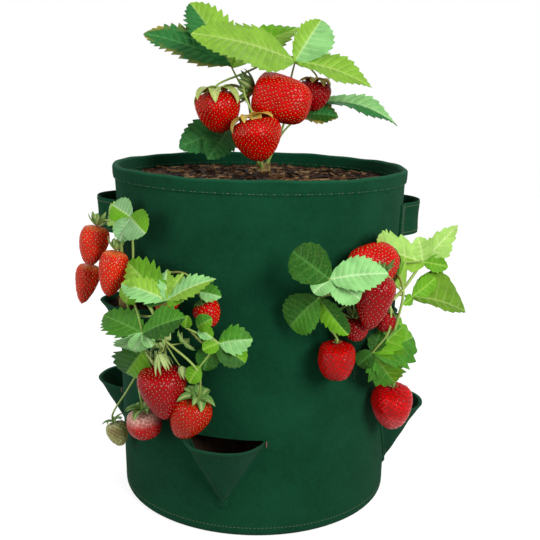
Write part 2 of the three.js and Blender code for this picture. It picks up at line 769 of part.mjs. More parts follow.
const leftPlant = {
  trusses: [
    {
      suffix: "_lower",
      stem: [[0.35, 0.4, 0.26], [0.68, 0.6, 0.2], [0.74, 0.52, -0.17]],
      berries: [
        { calyx: [0.63, 0.4, -0.55], tip: [0.66, 0.34, -1.14], widthShare: 0.52, fork: 3,
          colour: darkRipeColour },
        { calyx: [0.94, 0.24, -0.88], tip: [0.74, 0.24, -1.35], widthShare: 0.45, fork: 3,
          via: [[1, 0.4, -0.5]] },
        { calyx: [0.29, 0.24, -1.17], tip: [0.31, 0.22, -1.49], widthShare: 0.4, fork: 3,
          via: [[0.5, 0.3, -0.38], [0.3, 0.3, -0.75]], colour: paleRipeColour },
        { calyx: [-0.33, 0.23, -1.53], tip: [-0.25, 0.17, -1.81], widthShare: 0.26, fork: 3,
          via: [[0.46, 0.26, -0.42], [0.1, 0.26, -0.95]], colour: unripeColour },
        { calyx: [0.99, 0.2, 0.17], tip: [1.1, 0.2, -0.08], widthShare: 0.28, fork: 1,
          via: [[0.4, 0.12, 0.34], [0.75, 0.08, 0.42]] },
        { calyx: [0.66, 0.2, 0.23], tip: [0.5, 0.2, 0.02], widthShare: 0.3, fork: 1,
          via: [[0.36, 0.14, 0.26], [0.56, 0.1, 0.36]] },
      ],
    },
    {
      suffix: "_upper",
      stem: [[-0.2, 0.1, 0.4], [-0.16, 0.14, 0.86]],
      berries: [
        { calyx: [-0.36, 0.32, 0.79], tip: [-0.38, 0.42, 0.34], widthShare: 0.33, fork: 2,
          colour: paleRipeColour },
        { calyx: [0, 0.29, 0.58], tip: [-0.02, 0.39, 0.08], widthShare: 0.33, fork: 2,
          colour: paleRipeColour },
        { calyx: [-0.62, 0.32, 0.35], tip: [-0.65, 0.46, -0.15], widthShare: 0.3, fork: 2,
          via: [[-0.5, 0.24, 0.75]], colour: paleRipeColour },
      ],
    },
  ],
  leaves: [
    { hub: [0.16, 0.2, 0.96], via: [[0.1, 0.15, 0.5]], colour: midGreen, blades: [
      { tip: [0.03, 0.2, 1.13], facing: [-0.2, 0.9, 0.3], widthShare: 0.5 },
      { tip: [0.46, 0.28, 0.9], facing: [0.3, 0.9, 0.3], widthShare: 0.52 },
      { tip: [0.15, 0.36, 0.74], facing: [-0.2, 0.9, -0.1], widthShare: 0.42 },
      { tip: [-0.32, 0.12, 0.96], facing: [-0.2, 0.8, 0.4], widthShare: 0.4, from: [0.04, 0.14, 0.95] },
    ] },
    { hub: [0.76, 0.46, 0.22], via: [[0.3, 0.36, -0.02], [0.62, 0.46, 0.04]], colour: yellowGreen, blades: [
      { tip: [0.28, 0.4, 0.34], facing: [0.1, 0.35, 0.95], widthShare: 0.24 },
      { tip: [1.17, 0.38, 0.5], facing: [0, 0.35, 0.95], widthShare: 0.22 },
      { tip: [0.7, 0.34, 0.52], facing: [0, 0.9, 0.3], widthShare: 0.3 },
      { tip: [0.18, 0.28, 0.5], facing: [0.3, 0.8, 0.4], widthShare: 0.24 },
      { tip: [1.19, 0.3, 0.27], facing: [0.2, 0.7, 0.6], widthShare: 0.38, from: [0.99, 0.3, 0.3] },
    ] },
    { hub: [0.59, 0.66, -0.12], colour: midGreen, blades: [
      { tip: [-0.09, 0.52, -0.17], facing: [0, 0.8, 0.6], widthShare: 0.3 },
      { tip: [0.94, 0.66, 0.15], facing: [-0.1, 0.95, 0.2], widthShare: 0.42 },
      { tip: [0.52, 0.78, -0.28], facing: [-0.1, 0.6, 0.8], widthShare: 0.75 },
      { tip: [0.24, 0.64, -0.3], facing: [-0.1, 0.7, 0.7], widthShare: 0.42 },
      { tip: [0.16, 0.34, -0.74], facing: [-0.3, 0.9, 0.3], widthShare: 0.3, from: [0.5, 0.44, -0.36] },
    ] },
    { hub: [1.18, 0.36, -0.2], via: [[0.46, 0.1, 0.06], [0.74, 0.08, -0.14], [0.98, 0.14, -0.3]],
      colour: darkGreen, blades: [
        { tip: [1.47, 0.3, -0.16], facing: [0.1, 0.8, 0.5], widthShare: 0.4 },
        { tip: [1.41, 0.34, -0.4], facing: [0.2, 0.9, 0.3], widthShare: 0.42 },
        { tip: [1.05, 0.36, -0.51], facing: [0, 0.9, 0.2], widthShare: 0.42, from: [1.12, 0.34, -0.24] },
      ] },
  ],
};

const rightPlant = {
  trusses: [{
    suffix: "",
    stem: [[0.08, 0.3, 0.2], [0.14, 0.4, 0.42], [0.08, 0.62, 0.3], [0.05, 0.6, -0.1]],
    berries: [
      { calyx: [0.12, 0.3, 0.53], tip: [-0.37, 0.28, 0.63], widthShare: 0.45, fork: 2 },
      { calyx: [-0.26, 0.6, 0.52], tip: [-0.3, 0.56, -0.06], widthShare: 0.42, fork: 3,
        colour: darkRipeColour },
      { calyx: [-0.32, 0.36, 0.02], tip: [-0.27, 0.34, -0.24], widthShare: 0.27, fork: 1,
        via: [[-0.14, 0.26, 0.26], [-0.3, 0.3, 0.24]], colour: darkRipeColour },
      { calyx: [0.01, 0.44, 0.03], tip: [-0.08, 0.44, -0.14], widthShare: 0.26, fork: 4,
        colour: darkRipeColour },
      { calyx: [-0.45, 0.28, -0.26], tip: [-0.42, 0.24, -0.66], widthShare: 0.4, fork: 1,
        via: [[-0.34, 0.18, 0.1], [-0.52, 0.2, -0.04]] },
      { calyx: [0.34, 0.3, -0.93], tip: [0.45, 0.24, -1.47], widthShare: 0.45, fork: 4,
        via: [[0.07, 0.46, -0.44]], colour: paleRipeColour },
    ],
  }],
  leaves: [
    { hub: [-0.68, 0.62, 0.53], colour: midGreen, blades: [
      { tip: [-0.92, 0.34, 0.76], facing: [-0.5, 0.6, 0.6], widthShare: 0.42 },
      { tip: [-0.29, 0.76, 0.61], facing: [-0.2, 0.75, 0.65], widthShare: 0.32 },
      { tip: [-0.49, 0.78, 0.33], facing: [-0.3, 0.7, 0.75], widthShare: 0.5 },
      { tip: [-0.8, 0.62, 0.4], facing: [-0.3, 0.7, 0.75], widthShare: 0.6 },
    ] },
    { hub: [-0.68, 0.36, 0.28], colour: darkGreen, blades: [
      { tip: [-0.89, 0.18, -0.06], facing: [-0.5, 0.9, 0.2], widthShare: 0.45 },
      { tip: [-0.44, 0.48, -0.1], facing: [-0.4, 0.9, 0.1], widthShare: 0.22 },
    ] },
    { hub: [0.76, 0.34, 0.44], via: [[0.24, 0.3, 0.14]], colour: yellowGreen, blades: [
      { tip: [0.9, 0.66, 0.87], facing: [-0.4, 0.8, 0.5], widthShare: 0.2 },
      { tip: [1.2, 0.6, 0.54], facing: [-0.2, 0.8, 0.5], widthShare: 0.18 },
      { tip: [-0.1, 0.3, 0.89], facing: [0, 0.8, 0.6], widthShare: 0.17 },
      { tip: [1.2, 0.56, 0.27], facing: [0, 0.8, 0.5], widthShare: 0.28 },
      { tip: [0.21, 0.34, 0.25], facing: [0.1, 0.9, 0.3], widthShare: 0.32, from: [0.42, 0.32, 0.5] },
    ] },
    { hub: [0.47, 0.36, 0.11], colour: yellowGreen, blades: [
      { tip: [0.8, 0.86, -0.1], facing: [0.1, 0.8, 0.5], widthShare: 0.42 },
      { tip: [0.74, 0.5, 0.28], facing: [0.1, 0.8, 0.5], widthShare: 0.3 },
    ] },
    { hub: [-0.09, 0.36, -0.39], via: [[-0.02, 0.46, 0.16], [-0.06, 0.54, -0.1]], colour: darkGreen, blades: [
      { tip: [0.4, 0.3, -0.33], facing: [0, 0.9, 0.4], widthShare: 0.3 },
      { tip: [0.04, 0.32, -0.16], facing: [0, 0.9, 0.4], widthShare: 0.4 },
      { tip: [0.41, 0.26, -0.89], facing: [0.2, 0.9, 0.2], widthShare: 0.34 },
      { tip: [-0.15, 0.2, -0.64], facing: [-0.2, 0.9, 0.1], widthShare: 0.42 },
    ] },
  ],
};

const pockets = [
  ...lowerPocketAzimuths.map((azimuth, order) => {
    return { name: `pouch_lower_${order + 1}`, azimuth, mouthHeight: lowerMouthHeight, planted: false };
  }),
  ...upperPocketAzimuths.map((azimuth, order) => {
    return { name: `pouch_upper_${order + 1}`, azimuth, mouthHeight: upperMouthHeight, planted: order < 2 };
  }),
];

// Assembly

addAt(0, makeMesh("side_wall", sideWall(), feltColour));
addAt(0, makeMesh("top_hem", topHem(), feltColour));
addAt(0, makeMesh("base_panel", basePanel(), feltColour));
addAt(seamAzimuth, makeMesh("back_seam_lap", backSeamLap(), threadColour));
pockets.forEach(({ name, azimuth, mouthHeight }) => {
  addAt(azimuth, makeMesh(name, pouch(mouthHeight), feltColour));
});
Object.entries(handleAzimuths).forEach(([side, azimuth]) => addHandle(side, azimuth));

const [leftPocketAzimuth, rightPocketAzimuth] = upperPocketAzimuths;
const topCrownShare = [0.04, -0.5, 0];
const pocketCrownShare = [0, crownStandoffDistance / plantSpread, 0];
const setInSoilNames = ["pouch_upper_1", "pouch_upper_2", "crown_top", "crown_left", "crown_right"];
const leftPlace = pocketPlace(leftPocketAzimuth, upperMouthHeight);
const rightPlace = pocketPlace(rightPocketAzimuth, upperMouthHeight);
const topCrown = topPlace(topCrownShare);
const leftCrown = leftPlace(pocketCrownShare);
const rightCrown = rightPlace(pocketCrownShare);

addCrown("crown_top", topCrown, topCrownRadius, crownColour);
addCrown("crown_left", leftCrown, pocketCrownRadius, crownColour);
addCrown("crown_right", rightCrown, pocketCrownRadius, crownColour);
const setInSoil = growBag.children.filter(({ name }) => setInSoilNames.includes(name));
addAt(0, makeMesh("soil", soil(setInSoil), soilColour));

addPlant("top", topPlace, topCrown, topPlant);
addPlant("left", leftPlace, leftCrown, leftPlant);
addPlant("right", rightPlace, rightCrown, rightPlant);

export default growBag;
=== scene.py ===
import math
import random

import bpy
import numpy as np
from mathutils import Matrix, Vector


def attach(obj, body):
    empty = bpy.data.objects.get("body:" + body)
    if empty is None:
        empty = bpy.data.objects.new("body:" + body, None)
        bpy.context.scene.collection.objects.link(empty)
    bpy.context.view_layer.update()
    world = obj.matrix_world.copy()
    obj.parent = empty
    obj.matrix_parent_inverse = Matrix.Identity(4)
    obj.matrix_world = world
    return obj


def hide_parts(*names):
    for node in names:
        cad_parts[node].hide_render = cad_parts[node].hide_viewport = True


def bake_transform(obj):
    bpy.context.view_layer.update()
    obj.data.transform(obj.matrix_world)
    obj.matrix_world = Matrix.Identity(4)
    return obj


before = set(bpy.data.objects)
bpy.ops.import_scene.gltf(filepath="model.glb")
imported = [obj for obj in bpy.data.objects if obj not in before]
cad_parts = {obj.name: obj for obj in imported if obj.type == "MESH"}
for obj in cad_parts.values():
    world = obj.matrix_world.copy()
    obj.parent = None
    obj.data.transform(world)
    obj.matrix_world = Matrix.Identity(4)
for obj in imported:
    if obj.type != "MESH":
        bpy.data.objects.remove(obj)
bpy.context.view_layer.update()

# Looks of a strawberry grow bag: felt bag with planting pockets and two handles, soil and bark, three plants.
# Metres, +Z up, the front is -Y. Azimuths are in degrees, from the front towards +X.

# Bag
BAG_HEIGHT = 0.400
FOOT_RADIUS = 0.163
MOUTH_RADIUS = 0.1727
FELT = 0.003
SEAT_GAP = 0.0003
FOOT_TURN = 0.008
FOOT_RING_WIDTH = 0.010
BASE_LAP_WIDTH = 0.008
BASE_RING_SHARES = (0.02, 0.3, 0.6, 0.85, 1)
RIPPLE_HEIGHT = 0.0014
RIPPLE_FADE = 0.05
WALL_COLUMNS = 288
WALL_ROWS = 56
TURN_STEPS = 6

# Hem folded over the mouth
HEM_FELT = 0.002
HEM_DEPTH = 0.015
HEM_CREST_DROP = 0.003
HEM_STITCH_DROP = 0.0141
HEM_PUCKER = 0.0007
HEM_PUCKER_SPREAD = 0.0018
HEM_CREST_WAVE = 0.0005
HEM_PUCKER_TURNS = 90
HEM_PUCKER_WAVE_SHARE = 0.5
HEM_ROWS = 10
# Turns round the hem, phase and share of the waves in its crest
HEM_CREST_WAVE_SHARES = ((7, 1, 1), (19, 0, 0.6))
# How much the hem is lightened, as wear and painted highlight: at its lower edges, and at the foot and the
# top of its crest
HEM_EDGE_WEAR_AND_HIGHLIGHT_SHARE = 0.35
HEM_CREST_WEAR_AND_HIGHLIGHT_SHARES = (0.25, 1)

# Stitching
STITCH_LENGTH = 0.0034
STITCH_PITCH = 0.0044
STITCH_RADIUS = 0.00045
STITCH_SUNK = 0.0002
FOOT_STITCH_HEIGHT = 0.012

# Lapped seam up the back
SEAM_AZIMUTH = 194
SEAM_WIDTH = 0.014
SEAM_FELT = 0.002
SEAM_END_MARGIN = 0.003
SEAM_STITCH_INSET = 0.003
SEAM_COLUMNS = 8
SEAM_EDGE_SHARE = 0.2
SEAM_THIN_SHARE = 0.35

# Planting pockets
POCKET_HALF_WIDTH = 0.046
POCKET_DEPTH = 0.076
POCKET_BULGE = 0.037
TIP_BULGE_POWER = 2
LIP_BULGE_POWER = 0.7
POCKET_FLANGE = 0.005
POCKET_CUT_MARGIN = 0.002
TIP_STITCH_SHARE = 0.78
POCKET_CREASE = 0.0007
POCKET_CREASE_SIZE = 0.045
POCKET_CREASE_POWER = 4
POCKET_SEAM_PRESS = 0.0011
POCKET_SEAM_SPREAD = 0.003
POCKET_FLANGE_FELT = 0.0008
POCKET_STITCH_INSET = 0.001
POCKET_STITCH_LIFT = 0.0019
POCKET_TIP_HALF_WIDTH = 0.0005
LIP_ROLL = 0.0012
LIP_ROLL_SPREAD = 0.004
# The pockets' lips are lightened: wear and a painted highlight along each lip
LIP_WEAR_AND_HIGHLIGHT_SPREAD = 0.0022
LIP_WEAR_AND_HIGHLIGHT_SHARES = (0.9, 0.7)
LIP_WEAR_AND_HIGHLIGHT_FADE_SHARE = 0.5
LIP_WEAR_AND_HIGHLIGHT_POWER = 6
POCKET_SEED = 400
POCKET_COLUMNS = 40
POCKET_ROWS = 36
LOWER_MOUTH = 0.118
UPPER_MOUTH = 0.258
LOWER_AZIMUTHS = (-12, 78, 168, 258)
UPPER_AZIMUTHS = (-50, 40, 130, 220)
PLANTED = ("pouch_upper_1", "pouch_upper_2")
CUT_OVERRUN = 0.010
PLANTING_HOLE_DEPTH = 0.045

# Red tacks at a pocket's corners
TACK_BESIDE = 0.001
TACK_BELOW = 0.007
TACK_ABOVE = 0.001
TACK_LIFT = 0.0036
TACK_LENGTH = 0.0075
TACK_PITCH = 0.0078
TACK_RADIUS = 0.0007
TACK_STEPS = 5

# Handles
HANDLE_AZIMUTHS = {"right": 94, "left": 274}
HANDLE_TOP = 0.361
HANDLE_BAND = 0.039
HANDLE_HALF_ANGLE = 16
HANDLE_STANDOFF = 0.020
HANDLE_TAB_ANGLE = 7
HANDLE_COLUMNS = 72
HANDLE_ROWS = 14
HANDLE_STITCH_INSET = 0.004
HANDLE_STITCH_LIFT = 0.0002
HANDLE_ROUND_SHARE = 0.35
HANDLE_CUP = 0.0012
HANDLE_EDGE_SPREAD = 0.003
HANDLE_EDGE_SHARE = 0.55
HANDLE_GROOVE = 0.0006
HANDLE_GROOVE_SPREAD = 0.0012
# The handles' band edges are lightened: wear and a painted highlight
HANDLE_WEAR_AND_HIGHLIGHT_SPREAD = 0.0016
HANDLE_WEAR_AND_HIGHLIGHT_SHARE = 0.6
HANDLE_END_ANGLE = 0.8
HANDLE_END_SHARE = 0.6
BOX_NEAR_ANGLE = 0.6
BOX_FAR_ANGLE = 0.9
BOX_STEPS = 12
HANDLE_BLEND_RADII = (0.1654, 0.176)

# Soil
SOIL_FREEBOARD = 0.016
SOIL_MOUND = 0.003
SOIL_RELIEF = 0.0046
SOIL_WAVE = 0.058
SOIL_WAVE_SHARES = ((0.04, 1), (0.21, 0.85), (0.37, 1.2))
SOIL_CRUMB = 0.0006
SOIL_CRUMB_SIZE = 0.012
SOIL_SEED = 72
SOIL_BASE_SHARES = (0.02, 0.5, 1)
SOIL_SIDE_SHARES = (0.05, 0.97)
SOIL_SIDE_ROWS = 14
SOIL_TOP_SHARES = (1, 0.01)
SOIL_RINGS = 40
SOIL_SECTORS = 120
PLUG_FREEBOARD = 0.006
PLUG_ROOT = 0.006
PLUG_CLEARANCE = 0.0012
PLUG_ROWS = 12
PLUG_COLUMNS = 25
CHIP_COUNT = 1500
PLUG_CHIP_COUNT = 36
CHIP_LENGTHS = (0.005, 0.020)
CHIP_WIDTHS = (0.0025, 0.007)
CHIP_THICKNESSES = (0.001, 0.0032)
CHIP_LIFT = 0.0008
CHIP_REACH_SHARE = 0.965
CHIP_JITTER_SHARES = (-0.45, 0.2)
CHIP_TINT_SHARES = (0.7, 1.2)
CHIP_SLOPE = 0.28
CHIP_TILT = 0.3
CHIP_FLATTEN_SHARE = 0.6
PLUG_OFFSET_SHARE = 0.75
PLUG_REACH_SHARES = (0.1, 0.8)

# Plants
SPREAD = 0.100
TOP_CROWN_RADIUS = 0.009
POCKET_CROWN_RADIUS = 0.008
CROWN_RISE = 0.012
CROWN_SUNK = 0.013
CROWN_STANDOFF = 0.018
STALK_RADIUS = 0.0014
STEM_RADIUS = 0.0019
PEDICEL_RADIUS = 0.0011
PEDICEL_LEAD = 0.006
TUBE_SIDES = 8
STEM_STEPS = 10
BUD_STEPS = 8
CROWN_STEPS = 6
BERRY_STEPS = 16
BLADE_THICKNESS = 0.0005
BLADE_ROOT_HALF_WIDTH = 0.0012
SEED_SPACING = 0.0043
SEED_LENGTH = 0.0016
SEED_WIDTH = 0.0010
SEED_HEIGHT = 0.0006
PIT_DEPTH = 0.0012
PIT_RADIUS = 0.0016
SEPAL_THICKNESS = 0.0004

# Camera
CAMERA_PLACE = (0, -1.030, 0.49917)
CAMERA_PAN = 0.014
CAMERA_PITCH = 0.21897
CAMERA_ROLL = 0.02289
CAMERA_LENS = 57.13
CAMERA_SENSOR = 36

# Heights of the materials' bumps
FIBRE_BUMP = 0.0006
MOTTLE_BUMP = 0.0005
TWIST_BUMP = 0.0002
CRUMB_BUMP = 0.002
BARK_BUMP = 0.0012
VEIN_NET_BUMP = 0.0004
LEAF_BUMP = 0.0003
STALK_BUMP = 0.0003
SEPAL_BUMP = 0.0004
SKIN_BUMP = 0.0002
SEED_BUMP = 0.0001
CROWN_BUMP = 0.001

DICE_SEED = 5
dice = random.Random(DICE_SEED)


# Numbers

UPWARD = np.array([0, 0, 1])


def srgb(red, green, blue):
    """A colour written as 0 to 255, as the linear values that the shaders use."""
    values = []
    for value in (red, green, blue):
        share = value / 255
        values.append(share / 12.92 if share <= 0.04045 else ((share + 0.055) / 1.055) ** 2.4)
    return tuple(values)


def smooth(share):
    share = np.clip(share, 0, 1)
    return share * share * (3 - 2 * share)


def unit(vector):
    vector = np.asarray(vector, float)
    return vector / np.linalg.norm(vector, axis=-1, keepdims=True)


NOISE_WAVES = 5
NOISE_OCTAVES = 2
NOISE_FALL = 1.7
NOISE_GAIN = 1.6


def wave_noise(points, size, seed):
    """Smooth noise from about -1 to 1 at points, as sums of sine waves in seeded directions."""
    local = np.random.default_rng(seed)
    total = np.zeros(points.shape[:-1])
    for octave in range(NOISE_OCTAVES):
        for _ in range(NOISE_WAVES):
            direction = unit(local.normal(size=3))
            phase = local.uniform(0, 2 * math.pi)
            angle = points @ direction * (2 * math.pi * 2 ** octave / size) + phase
            total += np.sin(angle) / (NOISE_WAVES * NOISE_FALL ** octave)
    return total * NOISE_GAIN


# Places on the bag

def wall_radius(height):
    return FOOT_RADIUS + (MOUTH_RADIUS - FOOT_RADIUS) * height / BAG_HEIGHT


def around(azimuth, radius, height):
    angle = np.radians(azimuth)
    return np.stack(np.broadcast_arrays(radius * np.sin(angle), -radius * np.cos(angle), height), -1)


def arc_degrees(length, radius):
    return np.degrees(length / radius)


# Turns round the bag, waves up the bag, phase and share of the felt's slow waves
RIPPLE_WAVE_SHARES = ((3, 0.4, 0.6, 0.4), (5, -0.7, 2.1, 0.3), (9, 1.3, 4.0, 0.25), (14, 0.6, 1.2, 0.15),
                      (23, -1.9, 5.2, 0.1))
RIPPLE_TOP_SHARE = 0.3


def ripple(azimuth, height):
    """How far the felt waves off its cone, none at the foot and the hem."""
    total = 0
    for turns, waves, phase, share in RIPPLE_WAVE_SHARES:
        angle = turns * np.radians(azimuth) + waves * 2 * math.pi * height / BAG_HEIGHT + phase
        total = total + share * np.sin(angle)
    below_hem = BAG_HEIGHT - HEM_DEPTH - height
    fade = smooth(height / RIPPLE_FADE) * smooth(below_hem / RIPPLE_FADE + RIPPLE_TOP_SHARE)
    return RIPPLE_HEIGHT * total * fade


def on_wall(azimuth, height, lift=0.0):
    return around(azimuth, wall_radius(height) + ripple(azimuth, height) + lift, height)


# Mesh making

def grid_faces(rows, columns, start=0, flip=False, wrap=False):
    """Quads between points stored row by row."""
    faces = []
    last = columns if wrap else columns - 1
    for row in range(rows - 1):
        for column in range(last):
            beside = (column + 1) % columns
            quad = (row * columns + column, row * columns + beside,
                    (row + 1) * columns + beside, (row + 1) * columns + column)
            faces.append(tuple(start + corner for corner in (reversed(quad) if flip else quad)))
    return faces


def closed_sheet(outer, inner):
    """Points and faces of a closed sheet between two grids of points."""
    rows, columns = outer.shape[:2]
    size = rows * columns
    faces = grid_faces(rows, columns) + grid_faces(rows, columns, size, flip=True)
    for row in range(rows - 1):
        near, far = row * columns, (row + 1) * columns
        faces.append((near, far, size + far, size + near))
        near, far = near + columns - 1, far + columns - 1
        faces.append((far, near, size + near, size + far))
    top = (rows - 1) * columns
    for column in range(columns - 1):
        faces.append((column + 1, column, size + column, size + column + 1))
        faces.append((top + column, top + column + 1, size + top + column + 1, size + top + column))
    return np.concatenate([outer.reshape(-1, 3), inner.reshape(-1, 3)]), faces


def ring_sheet(loops):
    """Points and faces of a body whose closed outline runs round the bag: loops[outline, azimuth]."""
    count, columns = loops.shape[:2]
    faces = grid_faces(count, columns, wrap=True)
    for column in range(columns):
        beside = (column + 1) % columns
        last = (count - 1) * columns
        faces.append((last + column, last + beside, beside, column))
    return loops.reshape(-1, 3), faces


LEAST_GAP = 1e-6


def smooth_path(places, steps):
    """Points along a curve through the places."""
    places = [np.asarray(place, float) for place in places]
    ends = [2 * places[0] - places[1], *places, 2 * places[-1] - places[-2]]
    points = []
    for order in range(len(places) - 1):
        before, here, there, after = ends[order:order + 4]
        spans = ((before, here), (here, there), (there, after))
        gaps = [max(np.linalg.norm(far - near) ** 0.5, LEAST_GAP) for near, far in spans]
        leave = (here - before) / gaps[0] - (there - before) / (gaps[0] + gaps[1]) + (there - here) / gaps[1]
        arrive = (there - here) / gaps[1] - (after - here) / (gaps[1] + gaps[2]) + (after - there) / gaps[2]
        leave, arrive = leave * gaps[1], arrive * gaps[1]
        last = order == len(places) - 2
        for share in np.linspace(0, 1, steps + 1)[:None if last else -1]:
            square, cube = share ** 2, share ** 3
            points.append(here * (2 * cube - 3 * square + 1) + leave * (cube - 2 * square + share)
                          + there * (3 * square - 2 * cube) + arrive * (cube - square))
    return np.array(points)


# A way that no stalk runs in, to measure round a tube from
TUBE_START_WAY = (0.31, 0.22, 0.93)


def tube(points, radii):
    """A capped tube along points, with the radius at each point."""
    points = np.asarray(points, float)
    count, sides = len(points), TUBE_SIDES
    tangents = unit(np.gradient(points, axis=0))
    side = unit(np.cross(tangents[0], TUBE_START_WAY))
    rings = []
    for order in range(count):
        side = unit(side - tangents[order] * (side @ tangents[order]))
        up = np.cross(tangents[order], side)
        angles = np.linspace(0, 2 * math.pi, sides, endpoint=False)[:, None]
        rings.append(points[order] + radii[order] * (np.cos(angles) * side + np.sin(angles) * up))
    body = np.concatenate(rings + [points[:1], points[-1:]])
    faces = grid_faces(count, sides, wrap=True)
    first, last = count * sides, count * sides + 1
    for column in range(sides):
        beside = (column + 1) % sides
        faces.append((first, beside, column))
        faces.append((last, (count - 1) * sides + column, (count - 1) * sides + beside))
    return body, faces


SPINDLE_RING_SHARES = ((0.12, 0.62), (0.5, 1), (0.88, 0.62))
SPINDLE_SIDES = 6


def spindle(start, end, across, up):
    """A small rounded grain from start to end, with its half width and half height as vectors."""
    points = [start]
    for along, swell in SPINDLE_RING_SHARES:
        middle = start + (end - start) * along
        for side in range(SPINDLE_SIDES):
            angle = 2 * math.pi * side / SPINDLE_SIDES
            points.append(middle + swell * (math.cos(angle) * across + math.sin(angle) * up))
    points.append(end)
    faces = grid_faces(len(SPINDLE_RING_SHARES), SPINDLE_SIDES, 1, wrap=True)
    last = len(points) - 1
    for side in range(SPINDLE_SIDES):
        beside = (side + 1) % SPINDLE_SIDES
        faces.append((0, 1 + beside, 1 + side))
        faces.append((last, last - SPINDLE_SIDES + side, last - SPINDLE_SIDES + beside))
    return np.array(points), faces


SHARP_ANGLE = math.radians(50)


def add_object(name, data):
    made = bpy.data.objects.new(name, data)
    bpy.context.scene.collection.objects.link(made)
    return made


class Shape:
    """A mesh in the making: points, faces, each face's material and named values at the points."""

    def __init__(self):
        self.points = []
        self.faces = []
        self.kinds = []
        self.values = []
        self.count = 0

    def add(self, body, kind=0, **values):
        points, faces = body
        self.points.append(np.asarray(points, float))
        self.faces.extend(tuple(corner + self.count for corner in face) for face in faces)
        self.kinds.extend([kind] * len(faces))
        self.values.append((len(points), values))
        self.count += len(points)

    def mesh(self, name, materials):
        mesh = bpy.data.meshes.new(name)
        mesh.from_pydata(np.concatenate(self.points).tolist(), [], self.faces)
        for material in materials:
            mesh.materials.append(material)
        mesh.polygons.foreach_set("material_index", self.kinds)
        for key in sorted({key for _, values in self.values for key in values}):
            self.write_value(mesh, key)
        mesh.shade_smooth()
        mesh.set_sharp_from_angle(angle=SHARP_ANGLE)
        mesh.update()
        return mesh

    def write_value(self, mesh, key):
        is_colour = any(np.shape(values.get(key, 0.0))[-1:] == (3,) for _, values in self.values)
        parts = []
        for count, values in self.values:
            width = 3 if is_colour else 1
            value = np.asarray(values.get(key, np.zeros(width)), float)
            parts.append(np.broadcast_to(value.reshape(-1, width), (count, width)))
        data = np.concatenate(parts)
        if is_colour:
            attribute = mesh.attributes.new(key, "FLOAT_COLOR", "POINT")
            attribute.data.foreach_set("color", np.column_stack([data, np.ones(len(data))]).ravel())
        else:
            attribute = mesh.attributes.new(key, "FLOAT", "POINT")
            attribute.data.foreach_set("value", data.ravel())

    def piece(self, name, materials, slot, nodes=(), body="bag"):
        return add_piece(name, self.mesh(name, materials), slot, nodes, body)


def add_piece(name, mesh, slot, nodes=(), body="bag"):
    piece = add_object(name, mesh)
    if body:
        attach(piece, body)
    if nodes:
        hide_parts(*nodes)
    return piece


def cut_mesh(mesh, cutter):
    """The mesh with the cutter's bodies taken out of it."""
    target = add_object("cut_target", mesh)
    tool = add_object("cut_tool", cutter)
    modifier = target.modifiers.new("cut", "BOOLEAN")
    modifier.operation = "DIFFERENCE"
    modifier.solver = "EXACT"
    modifier.object = tool
    graph = bpy.context.evaluated_depsgraph_get()
    result = bpy.data.meshes.new_from_object(target.evaluated_get(graph))
    bpy.data.objects.remove(target)
    bpy.data.objects.remove(tool)
    result.set_sharp_from_angle(angle=SHARP_ANGLE)
    return result


# Materials

def feed(tree, socket, value):
    """Links an output to a socket, or sets the socket's own value."""
    if isinstance(value, bpy.types.NodeSocket):
        tree.links.new(value, socket)
    elif socket.type == "RGBA" and len(value) == 3:
        socket.default_value = (*value, 1)
    else:
        socket.default_value = value


def add_node(tree, kind, inputs, output=0, **settings):
    made = tree.nodes.new("ShaderNode" + kind)
    for key, value in settings.items():
        setattr(made, key, value)
    for key, value in inputs.items():
        feed(tree, made.inputs[key], value)
    return made.outputs[output]


class Shader:
    """One procedural material, built node by node in object coordinates."""

    def __init__(self, name, **settings):
        self.material = bpy.data.materials.new(name)
        self.material.use_nodes = True
        self.tree = self.material.node_tree
        self.principled = self.tree.nodes["Principled BSDF"]
        self.place = self.tree.nodes.new("ShaderNodeTexCoord").outputs["Object"]
        for key, value in settings.items():
            self.principled.inputs[key.replace("_", " ").title().replace("Ior", "IOR")].default_value = value

    def node(self, kind, inputs, output=0, **settings):
        return add_node(self.tree, kind, inputs, output, **settings)

    def value(self, name):
        return self.node("Attribute", {}, 2, attribute_name=name)

    def colour(self, name):
        return self.node("Attribute", {}, 0, attribute_name=name)

    def stretched(self, scale):
        return self.node("Mapping", {"Vector": self.place, "Scale": scale})

    def noise(self, scale, detail, roughness, place=None):
        inputs = {"Vector": place or self.place, "Scale": scale, "Detail": detail, "Roughness": roughness}
        return self.node("TexNoise", inputs)

    def cells(self, scale, feature="F1"):
        return self.node("TexVoronoi", {"Vector": self.place, "Scale": scale}, feature=feature)

    def maths(self, operation, first, second):
        return self.node("Math", {0: first, 1: second}, operation=operation)

    def ramp(self, value, low, high, to_low=0.0, to_high=1.0):
        inputs = {"Value": value, "From Min": low, "From Max": high, "To Min": to_low, "To Max": to_high}
        return self.node("MapRange", inputs)

    def mix(self, share, first, second, blend="MIX"):
        """A mix of two colours: the Mix node takes them in its inputs 6 and 7 and gives them in output 2."""
        return self.node("Mix", {0: share, 6: first, 7: second}, 2, data_type="RGBA", blend_type=blend)

    def bump(self, height, distance, strength=1.0, normal=None):
        inputs = {"Height": height, "Distance": distance, "Strength": strength}
        if normal is not None:
            inputs["Normal"] = normal
        return self.node("Bump", inputs)

    def finish(self, colour, roughness, normal):
        for name, value in (("Base Color", colour), ("Roughness", roughness), ("Normal", normal)):
            feed(self.tree, self.principled.inputs[name], value)
        return self.material


FELT_COLOUR = srgb(10, 59, 36)
FELT_LIGHT_COLOUR = srgb(24, 85, 56)
FELT_DARK_COLOUR = srgb(7, 45, 27)
THREAD_COLOUR = srgb(110, 118, 90)
RED_THREAD_COLOUR = srgb(176, 112, 104)


